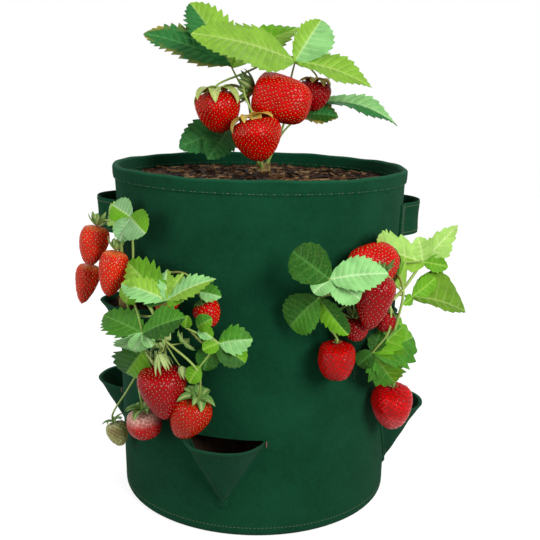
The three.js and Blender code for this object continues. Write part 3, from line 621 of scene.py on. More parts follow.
def felt_material():
    shader = Shader("felt", sheen_weight=0.02, sheen_roughness=0.6, specular_ior_level=0.04)
    clouds = shader.ramp(shader.noise(22, 3, 0.55), 0.35, 0.7)
    mottle = shader.ramp(shader.noise(210, 4, 0.7), 0.4, 0.68)
    fibres = shader.noise(1.0, 5, 0.75, shader.stretched((1500, 1500, 520)))
    specks = shader.ramp(shader.cells(620), 0.0, 0.35, 1.0, 0.0)
    colour = shader.mix(shader.maths("MULTIPLY", mottle, 0.6), FELT_COLOUR, FELT_DARK_COLOUR)
    colour = shader.mix(shader.maths("MULTIPLY", clouds, 0.26), colour, FELT_LIGHT_COLOUR)
    colour = shader.mix(shader.ramp(fibres, 0.54, 0.76, 0.0, 0.6), colour, FELT_LIGHT_COLOUR)
    colour = shader.mix(shader.maths("MULTIPLY", specks, 0.18), colour, FELT_LIGHT_COLOUR)
    # The edge value lightens the felt towards its light colour: wear on its edges and a painted highlight on
    # the hem's crest, the pockets' lips and the handles' edges
    colour = shader.mix(shader.maths("MULTIPLY", shader.value("edge"), 0.75), colour, FELT_LIGHT_COLOUR)
    normal = shader.bump(fibres, FIBRE_BUMP, 0.7)
    normal = shader.bump(mottle, MOTTLE_BUMP, 0.5, normal)
    return shader.finish(colour, shader.ramp(fibres, 0.3, 0.7, 0.86, 0.98), normal)


def thread_material(name, colour):
    shader = Shader(name, specular_ior_level=0.3)
    twist = shader.node("TexWave", {"Vector": shader.place, "Scale": 900, "Distortion": 2.0},
                        bands_direction="DIAGONAL")
    shade = shader.mix(shader.maths("MULTIPLY", twist, 0.5), colour, tuple(0.45 * part for part in colour))
    return shader.finish(shade, shader.ramp(twist, 0, 1, 0.6, 0.8), shader.bump(twist, TWIST_BUMP))


def soil_material():
    shader = Shader("soil_crumbs", specular_ior_level=0.04)
    crumbs = shader.noise(420, 6, 0.75)
    clods = shader.noise(90, 4, 0.6)
    colour = shader.mix(shader.ramp(crumbs, 0.35, 0.65), srgb(18, 14, 11), srgb(64, 47, 33))
    colour = shader.mix(shader.ramp(clods, 0.45, 0.75, 0, 0.6), colour, srgb(16, 12, 10))
    normal = shader.bump(crumbs, CRUMB_BUMP, 0.9)
    return shader.finish(colour, shader.ramp(crumbs, 0.3, 0.7, 0.85, 1.0), normal)


def bark_material():
    shader = Shader("bark_chips", specular_ior_level=0.08)
    tint = shader.colour("tint")
    grain = shader.noise(1.0, 5, 0.7, shader.stretched((900, 260, 1200)))
    colour = shader.mix(shader.ramp(grain, 0.3, 0.75, 0.8, 0.1), tint, srgb(20, 13, 9))
    pale = shader.ramp(grain, 0.6, 0.8, 0, 0.25)
    colour = shader.mix(pale, colour, srgb(190, 158, 118))
    return shader.finish(colour, shader.ramp(grain, 0.2, 0.8, 0.7, 0.95), shader.bump(grain, BARK_BUMP))


def leaf_material():
    """A blade's green with its veins, coming from the values at its points."""
    shader = Shader("leaf_blades", specular_ior_level=0.08)
    tint = shader.colour("tint")
    vein_tint = shader.colour("vein_tint")
    vein = shader.maths("POWER", shader.value("vein"), 1.6)
    patch = shader.noise(60, 3, 0.55)
    fine = shader.noise(520, 4, 0.65)
    net = shader.cells(620, feature="DISTANCE_TO_EDGE")
    dark = shader.mix(1.0, tint, srgb(150, 168, 142), blend="MULTIPLY")
    bright = shader.mix(0.35, tint, srgb(214, 232, 120))
    colour = shader.mix(shader.ramp(patch, 0.38, 0.66, 0.0, 0.42), tint, dark)
    colour = shader.mix(shader.ramp(fine, 0.5, 0.75, 0.0, 0.3), colour, bright)
    colour = shader.mix(shader.ramp(net, 0.0, 0.06, 0.22, 0.0), colour, bright)
    colour = shader.mix(shader.maths("MULTIPLY", vein, 0.8), colour, vein_tint)
    wear = shader.maths("MULTIPLY", shader.value("margin"), shader.ramp(patch, 0.42, 0.6))
    colour = shader.mix(wear, colour, srgb(168, 148, 62))
    normal = shader.bump(net, VEIN_NET_BUMP, 0.35)
    normal = shader.bump(fine, LEAF_BUMP, 0.4, normal)
    return shader.finish(colour, shader.ramp(fine, 0.3, 0.7, 0.38, 0.58), normal)


def stalk_material():
    shader = Shader("stalks", specular_ior_level=0.4)
    streaks = shader.noise(1.0, 4, 0.6, shader.stretched((700, 700, 120)))
    blush = shader.noise(45, 2, 0.5)
    shade = shader.mix(shader.ramp(streaks, 0.35, 0.7, 0.0, 0.5), srgb(150, 176, 84), srgb(104, 140, 62))
    shade = shader.mix(shader.ramp(blush, 0.5, 0.72, 0.0, 0.35), shade, srgb(150, 110, 60))
    return shader.finish(shade, shader.ramp(streaks, 0.3, 0.7, 0.4, 0.6), shader.bump(streaks, STALK_BUMP))


def sepal_material():
    shader = Shader("sepals", specular_ior_level=0.3)
    tint = shader.colour("tint")
    streaks = shader.noise(380, 4, 0.65)
    colour = shader.mix(shader.ramp(streaks, 0.4, 0.7, 0.0, 0.5), tint, srgb(58, 92, 38))
    colour = shader.mix(shader.value("vein"), colour, srgb(196, 206, 138))
    return shader.finish(colour, shader.ramp(streaks, 0.3, 0.7, 0.5, 0.7), shader.bump(streaks, SEPAL_BUMP))


def berry_material():
    shader = Shader("berry_flesh", specular_ior_level=0.01, coat_weight=0.22, coat_roughness=0.07)
    tint = shader.colour("tint")
    pit = shader.value("pit")
    patch = shader.noise(70, 3, 0.55)
    skin = shader.noise(900, 3, 0.5)
    deep = shader.mix(1.0, tint, srgb(176, 96, 100), blend="MULTIPLY")
    colour = shader.mix(shader.ramp(patch, 0.4, 0.68, 0.0, 0.5), tint, deep)
    colour = shader.mix(shader.value("pale"), colour, shader.colour("pale_tint"))
    # The flesh in the pits round the seeds is darkened: painted shade in the hollows
    pit_shade = shader.mix(1.0, colour, srgb(150, 70, 74), blend="MULTIPLY")
    colour = shader.mix(shader.maths("MULTIPLY", pit, 0.85), colour, pit_shade)
    normal = shader.bump(skin, SKIN_BUMP, 0.35)
    return shader.finish(colour, shader.ramp(skin, 0.3, 0.7, 0.18, 0.28), normal)


def seed_material():
    shader = Shader("berry_seeds", specular_ior_level=0.3)
    tint = shader.colour("tint")
    grain = shader.noise(1400, 3, 0.6)
    colour = shader.mix(shader.ramp(grain, 0.4, 0.7, 0.0, 0.6), tint, srgb(150, 72, 36))
    return shader.finish(colour, shader.ramp(grain, 0.3, 0.7, 0.3, 0.45), shader.bump(grain, SEED_BUMP))


def crown_material():
    shader = Shader("crown_scales", specular_ior_level=0.25)
    grain = shader.noise(1.0, 5, 0.7, shader.stretched((420, 420, 130)))
    colour = shader.mix(shader.ramp(grain, 0.35, 0.68), srgb(82, 60, 36), srgb(150, 132, 78))
    return shader.finish(colour, shader.ramp(grain, 0.3, 0.7, 0.7, 0.9), shader.bump(grain, CROWN_BUMP))


felt = felt_material()
thread = thread_material("thread", THREAD_COLOUR)
red_thread = thread_material("red_thread", RED_THREAD_COLOUR)
soil_look = soil_material()
bark = bark_material()
leaf_look = leaf_material()
stalk_look = stalk_material()
sepal_look = sepal_material()
berry_look = berry_material()
seed_look = seed_material()
crown_look = crown_material()


# Stitching

def lengths_along(path):
    """How far along a path each of its points is."""
    return np.concatenate([[0], np.cumsum(np.linalg.norm(np.diff(path, axis=0), axis=1))])


def add_stitches(shape, path, out, kind, length=STITCH_LENGTH, pitch=STITCH_PITCH, radius=STITCH_RADIUS):
    """Thread grains along a path of points, half sunk in what they're sewn to; out is the outward way."""
    steps = lengths_along(path)
    for start in np.arange(0, steps[-1] - length, pitch):
        near, far, up = (np.array([np.interp(reach, steps, points[:, axis]) for axis in range(3)])
                         for reach, points in ((start, path), (start + length, path), (start, out)))
        up = unit(up)
        across = unit(np.cross(far - near, up)) * radius
        sunk = up * STITCH_SUNK
        shape.add(spindle(near - sunk, far - sunk, across, up * radius), kind)


def sew(shape, azimuths, heights, lift, kind, *grain):
    """Stitches along a line on the wall, lifted off it."""
    add_stitches(shape, on_wall(azimuths, heights, lift), around(azimuths, 1.0, 0.0), kind, *grain)


# Bag pieces

POCKET_RINGS = (("lower", LOWER_AZIMUTHS, LOWER_MOUTH), ("upper", UPPER_AZIMUTHS, UPPER_MOUTH))
POCKETS = [(f"pouch_{ring}_{order}", azimuth, mouth)
           for ring, azimuths, mouth in POCKET_RINGS for order, azimuth in enumerate(azimuths, 1)]

WALL_TOP = BAG_HEIGHT - HEM_FELT - SEAT_GAP
FOOT_FLAT_RADIUS = wall_radius(FOOT_TURN) - FOOT_TURN
FOOT_RING_RADIUS = FOOT_FLAT_RADIUS - FOOT_RING_WIDTH
BASE_LAP_TOP = 2 * FELT + SEAT_GAP


def wedges(spots):
    """V-shaped cutters for pockets, from a distance off the bag's axis to beyond the wall."""
    shape = Shape()
    half = POCKET_HALF_WIDTH - POCKET_CUT_MARGIN
    for azimuth, mouth, near_radius in spots:
        tip = mouth - POCKET_DEPTH * half / POCKET_HALF_WIDTH
        turn = np.radians(azimuth)
        outward = np.array([math.sin(turn), -math.cos(turn), 0])
        across = np.array([math.cos(turn), math.sin(turn), 0])
        corners = []
        for radius in (near_radius, MOUTH_RADIUS + CUT_OVERRUN):
            for offset, height in ((-half, mouth), (0, tip), (half, mouth)):
                corners.append(outward * radius + across * offset + np.array([0, 0, height]))
        shape.add((corners, [(2, 1, 0), (3, 4, 5), (1, 4, 3, 0), (2, 5, 4, 1), (0, 3, 5, 2)]))
    return shape.mesh("wedges", [])


def foot_arc(radius):
    angles = np.linspace(0, math.pi / 2, TURN_STEPS + 1)
    return [(FOOT_FLAT_RADIUS + radius * math.sin(a), FOOT_TURN - radius * math.cos(a)) for a in angles]


def side_wall():
    heights = np.linspace(FOOT_TURN, WALL_TOP, WALL_ROWS + 1)[1:]
    outline = [(FOOT_RING_RADIUS, 0.0)] + foot_arc(FOOT_TURN)
    outline += [(wall_radius(height), height) for height in heights]
    outline += [(wall_radius(height) - FELT, height) for height in heights[::-1]]
    outline += foot_arc(FOOT_TURN - FELT)[::-1] + [(FOOT_RING_RADIUS, FELT)]
    azimuths = np.linspace(0, 360, WALL_COLUMNS, endpoint=False)
    radii, heights = np.array(outline).T
    radii, heights = radii[:, None], heights[:, None]
    loops = around(azimuths[None], radii + ripple(azimuths[None], heights), heights)
    shape = Shape()
    shape.add(ring_sheet(loops))
    near = FOOT_RADIUS - FELT - CUT_OVERRUN
    cutter = wedges([(azimuth, mouth, near) for _, azimuth, mouth in POCKETS])
    wall = cut_mesh(shape.mesh("wall", [felt]), cutter)
    add_piece("felt_wall", wall, "felt", ["side_wall"])


def hem_radius(azimuth, height, outside):
    """The hem's outer or inner face, drawn in along its line of stitches."""
    drop = BAG_HEIGHT - height
    pucker = HEM_PUCKER * np.exp(-((drop - HEM_STITCH_DROP) / HEM_PUCKER_SPREAD) ** 2)
    pucker = pucker * (1 + HEM_PUCKER_WAVE_SHARE * np.sin(np.radians(azimuth) * HEM_PUCKER_TURNS))
    way = 1 if outside else -1
    face = wall_radius(height) + (SEAT_GAP + HEM_FELT if outside else -FELT - SEAT_GAP - HEM_FELT)
    return face + ripple(azimuth, height) - way * pucker


def hem_face(azimuths, wave, outside):
    """The rows of points up one face of the hem, and how much each row is lightened as wear and painted
    highlight.
    """
    bottom = BAG_HEIGHT - HEM_DEPTH
    shoulder = BAG_HEIGHT - HEM_CREST_DROP
    rows, wear_and_highlight = [], []
    for order, share in enumerate(np.linspace(0, 1, HEM_ROWS)):
        height = bottom + (shoulder - bottom) * share
        rows.append(around(azimuths, hem_radius(azimuths, height, outside), height + wave * share))
        wear_and_highlight.append(0 if order else HEM_EDGE_WEAR_AND_HIGHLIGHT_SHARE)
    return rows, wear_and_highlight


def hem_crest(azimuths, wave):
    """The rows of points over the hem's rounded crest, and how much each row is lightened as wear and painted
    highlight.
    """
    half = FELT / 2 + SEAT_GAP + HEM_FELT
    middle = wall_radius(BAG_HEIGHT) - FELT / 2
    foot_wear_and_highlight, top_wear_and_highlight = HEM_CREST_WEAR_AND_HIGHLIGHT_SHARES
    rows, wear_and_highlight = [], []
    for angle in np.linspace(0, math.pi, HEM_ROWS)[1:-1]:
        height = BAG_HEIGHT - HEM_CREST_DROP + HEM_CREST_DROP * math.sin(angle)
        rows.append(around(azimuths, middle + half * math.cos(angle), height + wave))
        wear_and_highlight.append(foot_wear_and_highlight + (top_wear_and_highlight - foot_wear_and_highlight) * math.sin(angle))
    return rows, wear_and_highlight


def top_hem():
    azimuths = np.linspace(0, 360, WALL_COLUMNS * 2, endpoint=False)
    wave = HEM_CREST_WAVE * sum(share * np.sin(np.radians(azimuths) * turns + phase)
                                for turns, phase, share in HEM_CREST_WAVE_SHARES)
    rows, wear_and_highlight = hem_face(azimuths, wave, True)
    crest_rows, crest_wear_and_highlight = hem_crest(azimuths, wave)
    inside_rows, inside_wear_and_highlight = hem_face(azimuths, wave, False)
    rows += crest_rows + inside_rows[::-1]
    wear_and_highlight += crest_wear_and_highlight + inside_wear_and_highlight[::-1]
    bottom, fold_top = BAG_HEIGHT - HEM_DEPTH, BAG_HEIGHT - HEM_FELT
    inner_lift = -FELT - SEAT_GAP
    corners = ((bottom, inner_lift), (fold_top, inner_lift), (fold_top, SEAT_GAP), (bottom, SEAT_GAP))
    for height, lift in corners:
        rows.append(on_wall(azimuths, height, lift))
        wear_and_highlight.append(0)
    shape = Shape()
    shape.add(ring_sheet(np.array(rows)), edge=np.repeat(wear_and_highlight, len(azimuths)))
    shape.piece("felt_hem", [felt], "felt", ["top_hem"])


def base_panel():
    disc = FOOT_RING_RADIUS - SEAT_GAP
    lap = FOOT_RING_RADIUS + BASE_LAP_WIDTH
    lap_foot = FELT + SEAT_GAP
    azimuths = np.linspace(0, 360, WALL_COLUMNS, endpoint=False)
    outline = [(share * disc, 0.0) for share in BASE_RING_SHARES]
    outline += [(disc, lap_foot), (lap, lap_foot), (lap, BASE_LAP_TOP), (disc - FELT, BASE_LAP_TOP)]
    outline += [(share * (disc - FELT), FELT) for share in BASE_RING_SHARES[::-1]]
    radii, heights = np.array(outline).T
    loops = around(azimuths[None], radii[:, None], heights[:, None])
    shape = Shape()
    shape.add(ring_sheet(loops))
    shape.piece("felt_base", [felt], "felt", ["base_panel"])


def back_seam():
    bottom = FOOT_TURN + SEAM_END_MARGIN
    top = BAG_HEIGHT - HEM_DEPTH - SEAM_END_MARGIN
    heights = np.linspace(bottom, top, WALL_ROWS)[:, None]
    offsets = SEAM_WIDTH * (np.linspace(0, 1, SEAM_COLUMNS + 1)[None] - 0.5)
    azimuths = SEAM_AZIMUTH + arc_degrees(offsets, MOUTH_RADIUS) + 0 * heights
    inside_share = smooth((0.5 * SEAM_WIDTH - np.abs(offsets)) / (SEAM_EDGE_SHARE * SEAM_WIDTH))
    thickness = SEAM_FELT * (SEAM_THIN_SHARE + (1 - SEAM_THIN_SHARE) * inside_share)
    outer = on_wall(azimuths, heights, SEAT_GAP + thickness)
    inner = on_wall(azimuths, heights, SEAT_GAP)
    shape = Shape()
    shape.add(closed_sheet(outer, inner))
    for side in (-1, 1):
        offset = side * (SEAM_WIDTH / 2 - SEAM_STITCH_INSET)
        line = SEAM_AZIMUTH + arc_degrees(offset, MOUTH_RADIUS) + 0 * heights[:, 0]
        sew(shape, line, heights[:, 0], SEAT_GAP + SEAM_FELT, 1)
    shape.piece("felt_seam", [felt, thread], "felt", ["back_seam_lap"])


def pocket_half_width(mouth, height):
    return POCKET_HALF_WIDTH * np.maximum((height - mouth + POCKET_DEPTH) / POCKET_DEPTH, 0)


def pocket_bulge(mouth, height, off_centre):
    """How far a pouch's inner face stands off the wall: a wide flat lip, rounder towards the tip."""
    half = pocket_half_width(mouth, height)
    across = np.clip(np.abs(off_centre) / np.maximum(half, LEAST_GAP), 0, 1)
    rise = half / POCKET_HALF_WIDTH
    return POCKET_BULGE * rise * (1 - across ** (TIP_BULGE_POWER + LIP_BULGE_POWER * rise))


def pouch(name, azimuth, mouth):
    """One sewn-on pocket: its felt, pressed along the seam and rolled at the lip, and its threads."""
    bottom = mouth - POCKET_DEPTH - POCKET_FLANGE
    heights = np.linspace(bottom, mouth, POCKET_ROWS + 1)[:, None]
    shares = np.concatenate([[-1], np.linspace(-1, 1, POCKET_COLUMNS + 1), [1]])[None]
    flange = np.zeros_like(shares)
    flange[0, 0], flange[0, -1] = -POCKET_FLANGE, POCKET_FLANGE
    half = np.maximum(pocket_half_width(mouth, heights), SEAM_FELT)
    off_centre = shares * half + flange
    turn = azimuth + arc_degrees(off_centre, wall_radius(heights))
    bulge = pocket_bulge(mouth, heights, off_centre)
    standing = on_wall(turn, heights, SEAT_GAP + bulge)
    relief = wave_noise(standing, POCKET_CREASE_SIZE, int(azimuth) + POCKET_SEED)
    crease = POCKET_CREASE * relief * (1 - np.abs(shares) ** POCKET_CREASE_POWER)
    seam = np.exp(-((1 - np.abs(shares)) * half / POCKET_SEAM_SPREAD) ** 2)
    thickness = np.where(flange == 0, FELT - POCKET_SEAM_PRESS * seam, POCKET_FLANGE_FELT)
    roll = LIP_ROLL * np.exp(-((mouth - heights) / LIP_ROLL_SPREAD) ** 2)
    outer = on_wall(turn, heights, SEAT_GAP + bulge + crease + thickness + roll)
    inner = on_wall(turn, heights, SEAT_GAP + bulge + crease)
    # A lighter band along the lip: wear and a painted highlight
    lip = np.exp(-((mouth - heights) / LIP_WEAR_AND_HIGHLIGHT_SPREAD) ** 2)
    lip = lip * (1 - LIP_WEAR_AND_HIGHLIGHT_FADE_SHARE * np.abs(shares) ** LIP_WEAR_AND_HIGHLIGHT_POWER)
    wear_and_highlight = np.concatenate([(lip * share).ravel() for share in LIP_WEAR_AND_HIGHLIGHT_SHARES])
    shape = Shape()
    shape.add(closed_sheet(outer, inner), edge=wear_and_highlight)
    add_pocket_threads(shape, azimuth, mouth, heights[:, 0])
    shape.piece(f"felt_{name}", [felt, thread, red_thread], "felt", [name])


def add_pocket_threads(shape, azimuth, mouth, heights):
    """The stitches near a pocket's tip, and the red tacks at its upper corners."""
    tip_heights = heights[heights < mouth - TIP_STITCH_SHARE * POCKET_DEPTH]
    inside = pocket_half_width(mouth, tip_heights) - POCKET_STITCH_INSET
    tack_heights = np.linspace(mouth - TACK_BELOW, mouth + TACK_ABOVE, TACK_STEPS)
    for side in (-1, 1):
        inset = side * np.maximum(inside, POCKET_TIP_HALF_WIDTH)
        line = azimuth + arc_degrees(inset, wall_radius(tip_heights))
        lift = SEAT_GAP + pocket_bulge(mouth, tip_heights, inset) + POCKET_STITCH_LIFT
        sew(shape, line, tip_heights, lift, 1)
        corner = azimuth + arc_degrees(side * (POCKET_HALF_WIDTH + TACK_BESIDE), wall_radius(mouth))
        sew(shape, corner + 0 * tack_heights, tack_heights, TACK_LIFT, 2, TACK_LENGTH, TACK_PITCH,
            TACK_RADIUS)


def handle(side, azimuth):
    """A felt band that stands off the wall between its two sewn ends."""
    tab_end = HANDLE_HALF_ANGLE + HANDLE_TAB_ANGLE
    angles = np.linspace(-tab_end, tab_end, HANDLE_COLUMNS + 1)[None]
    rises = np.linspace(0, 1, HANDLE_ROWS + 1)[:, None]
    arch = 1 - (angles / HANDLE_HALF_ANGLE) ** 2
    loose = smooth(arch) * HANDLE_ROUND_SHARE + np.maximum(arch, 0) * (1 - HANDLE_ROUND_SHARE)
    rim = np.minimum(rises, 1 - rises) * HANDLE_BAND
    cup = -HANDLE_CUP * loose * np.sin(math.pi * rises)
    thick = FELT * (HANDLE_EDGE_SHARE + (1 - HANDLE_EDGE_SHARE) * smooth(rim / HANDLE_EDGE_SPREAD))
    groove = HANDLE_GROOVE * np.exp(-((rim - HANDLE_STITCH_INSET) / HANDLE_GROOVE_SPREAD) ** 2)
    held = smooth((tab_end - np.abs(angles)) / HANDLE_END_ANGLE)
    inner_lift = SEAT_GAP + HANDLE_STANDOFF * loose + cup + FELT * (1 - thick / FELT) / 2
    outer_lift = inner_lift + thick * (HANDLE_END_SHARE + (1 - HANDLE_END_SHARE) * held) - groove
    turn = azimuth + angles + 0 * rises
    heights = HANDLE_TOP - HANDLE_BAND * (1 - rises) + 0 * angles
    # Lighter band edges: wear and a painted highlight
    wear_and_highlight = (np.exp(-(rim / HANDLE_WEAR_AND_HIGHLIGHT_SPREAD) ** 2) + 0 * angles).ravel() * HANDLE_WEAR_AND_HIGHLIGHT_SHARE
    shape = Shape()
    shape.add(closed_sheet(on_wall(turn, heights, outer_lift), on_wall(turn, heights, inner_lift)),
              edge=np.concatenate([wear_and_highlight, wear_and_highlight]))
    flat = np.linspace(-tab_end + HANDLE_END_ANGLE, tab_end - HANDLE_END_ANGLE, HANDLE_COLUMNS)
    for inset in (HANDLE_STITCH_INSET, HANDLE_BAND - HANDLE_STITCH_INSET):
        row = np.argmin(np.abs(rises[:, 0] * HANDLE_BAND - inset))
        lift = np.interp(flat, angles[0], outer_lift[row]) + HANDLE_STITCH_LIFT
        sew(shape, azimuth + flat, HANDLE_TOP - HANDLE_BAND + inset + 0 * flat, lift, 1)
    add_handle_boxes(shape, azimuth, tab_end)
    piece = shape.piece(f"felt_handle_{side}", [felt, thread], "felt", body=None)
    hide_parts(f"handle_strap_{side}", f"handle_tab_{side}_1", f"handle_tab_{side}_2")
    start, finish = (around(azimuth, radius, HANDLE_TOP) for radius in HANDLE_BLEND_RADII)
    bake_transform(piece)


def add_handle_boxes(shape, azimuth, tab_end):
    """The box and cross of stitches that hold each end of a handle."""
    low = HANDLE_TOP - HANDLE_BAND + HANDLE_STITCH_INSET
    high = HANDLE_TOP - HANDLE_STITCH_INSET
    for way in (-1, 1):
        near, far = way * (HANDLE_HALF_ANGLE + BOX_NEAR_ANGLE), way * (tab_end - BOX_FAR_ANGLE)
        runs = [((near, low), (near, high)), ((far, low), (far, high)), ((near, low), (far, high)),
                ((near, high), (far, low))]
        for (from_angle, from_height), (to_angle, to_height) in runs:
            shares = np.linspace(0, 1, BOX_STEPS)
            line = azimuth + from_angle + (to_angle - from_angle) * shares
            heights = from_height + (to_height - from_height) * shares
            sew(shape, line, heights, SEAT_GAP + FELT, 1)


def seam_threads():
    """The stitches round the hem, outside and inside, and round the foot."""
    shape = Shape()
    azimuths = np.linspace(0, 360, WALL_COLUMNS + 1)
    out = around(azimuths, 1.0, 0.0)
    height = BAG_HEIGHT - HEM_STITCH_DROP
    for outside in (True, False):
        path = around(azimuths, hem_radius(azimuths, height, outside), height)
        add_stitches(shape, path, out if outside else -out, 0)
    sew(shape, azimuths, FOOT_STITCH_HEIGHT, 0, 0)
    shape.piece("seam_threads", [thread], "felt")


side_wall()
top_hem()
base_panel()
back_seam()
for pocket in POCKETS:
    pouch(*pocket)
for side, azimuth in HANDLE_AZIMUTHS.items():
    handle(side, azimuth)
seam_threads()


# Soil

SOIL_TOP = BAG_HEIGHT - SOIL_FREEBOARD


def soil_inside_radius(height):
    return wall_radius(height) - FELT - SEAT_GAP


SOIL_EDGE_TOP = SOIL_TOP - SOIL_MOUND
SOIL_EDGE_RADIUS = soil_inside_radius(SOIL_EDGE_TOP)


def soil_surface(points):
    """The points of the soil's edge level, lifted to its mound, its rises and hollows, and its crumbs."""
    inward = np.maximum(1 - (points[..., 0] ** 2 + points[..., 1] ** 2) / SOIL_EDGE_RADIUS ** 2, 0)
    wave = 0
    for turn_share, length_share in SOIL_WAVE_SHARES:
        angle = 2 * math.pi * turn_share
        along = points[..., 0] * math.cos(angle) + points[..., 1] * math.sin(angle)
        wave = wave + np.sin(2 * math.pi * along / (SOIL_WAVE * length_share)) / len(SOIL_WAVE_SHARES)
    lifted = points.copy()
    lifted[..., 2] += SOIL_MOUND * inward + SOIL_RELIEF / 2 * wave * np.sqrt(inward)
    lifted[..., 2] += SOIL_CRUMB * wave_noise(points, SOIL_CRUMB_SIZE, SOIL_SEED)
    return lifted


def soil_body():
    azimuths = np.linspace(0, 360, SOIL_SECTORS, endpoint=False)
    rows = []
    bottom = BASE_LAP_TOP + SEAT_GAP
    for share in SOIL_BASE_SHARES:
        rows.append(around(azimuths, (soil_inside_radius(bottom) - FELT) * share, bottom))
    for share in np.linspace(*SOIL_SIDE_SHARES, SOIL_SIDE_ROWS):
        height = bottom + (SOIL_EDGE_TOP - bottom) * share
        radius = soil_inside_radius(height) + ripple(azimuths, height) - SEAT_GAP
        rows.append(around(azimuths, radius, height))
    for share in np.linspace(*SOIL_TOP_SHARES, SOIL_RINGS):
        rows.append(soil_surface(around(azimuths, (SOIL_EDGE_RADIUS - SEAT_GAP) * share, SOIL_EDGE_TOP)))
    shape = Shape()
    shape.add(ring_sheet(np.array(rows)))
    holes = [(azimuth, mouth, wall_radius(mouth) - PLANTING_HOLE_DEPTH)
             for name, azimuth, mouth in POCKETS if name not in PLANTED]
    return cut_mesh(shape.mesh("soil_bed", [soil_look]), wedges(holes))


def soil_plug(azimuth, mouth):
    """The soil that fills a planted pouch."""
    top = mouth - PLUG_FREEBOARD
    heights = np.linspace(mouth - POCKET_DEPTH / 2, top, PLUG_ROWS)[:, None]
    shares = np.linspace(-1, 1, PLUG_COLUMNS)[None]
    half = pocket_half_width(mouth, heights) - POCKET_CUT_MARGIN - 2 * SEAT_GAP
    offset = half * shares
    turn = azimuth + arc_degrees(offset, wall_radius(heights))
    heights = heights + 0 * shares
    reach = np.maximum(pocket_bulge(mouth, heights, offset) - PLUG_CLEARANCE, -FELT)
    outer = on_wall(turn, heights, reach)
    inner = around(turn, wall_radius(heights) - FELT - PLUG_ROOT, heights)
    return closed_sheet(outer, inner)


CHIP_TINTS = [srgb(128, 88, 54), srgb(104, 68, 42), srgb(158, 118, 76), srgb(70, 46, 30), srgb(46, 31, 22),
              srgb(28, 20, 16), srgb(86, 58, 38), srgb(184, 146, 100), srgb(60, 40, 27), srgb(36, 25, 19)]
CHIP_CORNERS = [(side, end, level) for level in (-1, 1) for side, end in ((-1, -1), (1, -1), (1, 1), (-1, 1))]
CHIP_FACES = [(3, 2, 1, 0), (4, 5, 6, 7), (0, 1, 5, 4), (1, 2, 6, 5), (2, 3, 7, 6), (3, 0, 4, 7)]


def add_chip(shape, place):
    """One splintered flake of bark, lying on the soil at any angle."""
    sizes = [dice.uniform(*sizes) for sizes in (CHIP_LENGTHS, CHIP_WIDTHS, CHIP_THICKNESSES)]
    heading = dice.uniform(0, 2 * math.pi)
    along = np.array([math.cos(heading), math.sin(heading), dice.gauss(0, CHIP_SLOPE)])
    along = unit(along - UPWARD * (along @ UPWARD) * CHIP_FLATTEN_SHARE)
    up = unit(UPWARD + np.array([dice.gauss(0, CHIP_TILT) for _ in range(3)]))
    across = unit(np.cross(up, along))
    up = np.cross(along, across)
    corners = []
    for corner in CHIP_CORNERS:
        jitter = [1 + dice.uniform(*CHIP_JITTER_SHARES) for _ in range(3)]
        spread = [part * shake * size / 2 for part, shake, size in zip(corner, jitter, sizes)]
        corners.append(place + along * spread[0] + across * spread[1] + up * spread[2])
    tint = np.array(dice.choice(CHIP_TINTS)) * dice.uniform(*CHIP_TINT_SHARES)
    shape.add((corners, CHIP_FACES), 1, tint=tint)


def soil():
    add_piece("soil_bed", soil_body(), "soil", ["soil"])
    shape = Shape()
    for name, azimuth, mouth in POCKETS:
        if name in PLANTED:
            shape.add(soil_plug(azimuth, mouth))
            for _ in range(PLUG_CHIP_COUNT):
                offset = dice.uniform(-PLUG_OFFSET_SHARE, PLUG_OFFSET_SHARE) * POCKET_HALF_WIDTH
                reach = dice.uniform(*PLUG_REACH_SHARES) * pocket_bulge(mouth, mouth, np.array(offset))
                turn = azimuth + arc_degrees(offset, wall_radius(mouth))
                add_chip(shape, on_wall(turn, mouth - PLUG_FREEBOARD, reach))
    for _ in range(CHIP_COUNT):
        share = math.sqrt(dice.random()) * CHIP_REACH_SHARE
        flat = around(dice.uniform(0, 360), SOIL_EDGE_RADIUS * share, SOIL_EDGE_TOP)
        add_chip(shape, soil_surface(flat) + UPWARD * CHIP_LIFT)
    shape.piece("bark_mulch", [soil_look, bark], "soil")


soil()


# Plants

def top_place(shares):
    """A place on the top plant: shares of the spread to the right, to the front and up."""
    right, front, up = shares
    return np.array([right * SPREAD, -front * SPREAD, SOIL_TOP + up * SPREAD])


def pocket_place(azimuth, mouth):
    """A place on a pocket's plant: shares of the spread round the bag, off the wall and up."""
    def place(shares):
        beside, off, up = shares
        height = mouth + up * SPREAD
        turn = azimuth + arc_degrees(beside * SPREAD, wall_radius(BAG_HEIGHT))
        return around(turn, wall_radius(height) + off * SPREAD, height)
    return place


def facing_at(place, spot, facing_shares):
    beyond = place(tuple(a + b for a, b in zip(spot, facing_shares)))
    return unit(beyond - place(spot))


# Leaves

ROWS_PER_TOOTH = 8
TOOTH_TIP_SHARE = 0.75
TOOTH_DEPTH_SHARE = 0.05
BLADE_COLUMNS = 16
EDGE_LEAD = 1.5
WIDEST_POWER = 0.9
BLUNT_POWER = 0.7
TOOTH_POWER = 7
VEIN_SWEEP_POWER = 1.15
ARCH_SHARE = 0.07
FOLD_SHARE = 0.18
WAVE_SHARE = 0.02
WAVE_COUNT = 1.7
WAVE_SIDE_SHARE = 0.25
MARGIN_START_SHARE = 0.72
MARGIN_WIDTH_SHARE = 0.25
CORRUGATION_SHARE = 0.011
CORRUGATION_END_SHARE = 0.96
CORRUGATION_POWER = 0.6
VEIN_SPREAD_SHARE = 0.1
VEIN_TIP_SHARE = 0.25
VEIN_STOP_SHARE = 0.98
MIDRIB_WIDTH = 0.0011
HALVES_STEEPNESS = 8
UNDERSIDE_COLOUR = (150, 190, 120)
UNDERSIDE_SHARE = 0.55
STALK_BOW_SHARE = 0.16
STALK_STEPS = 12
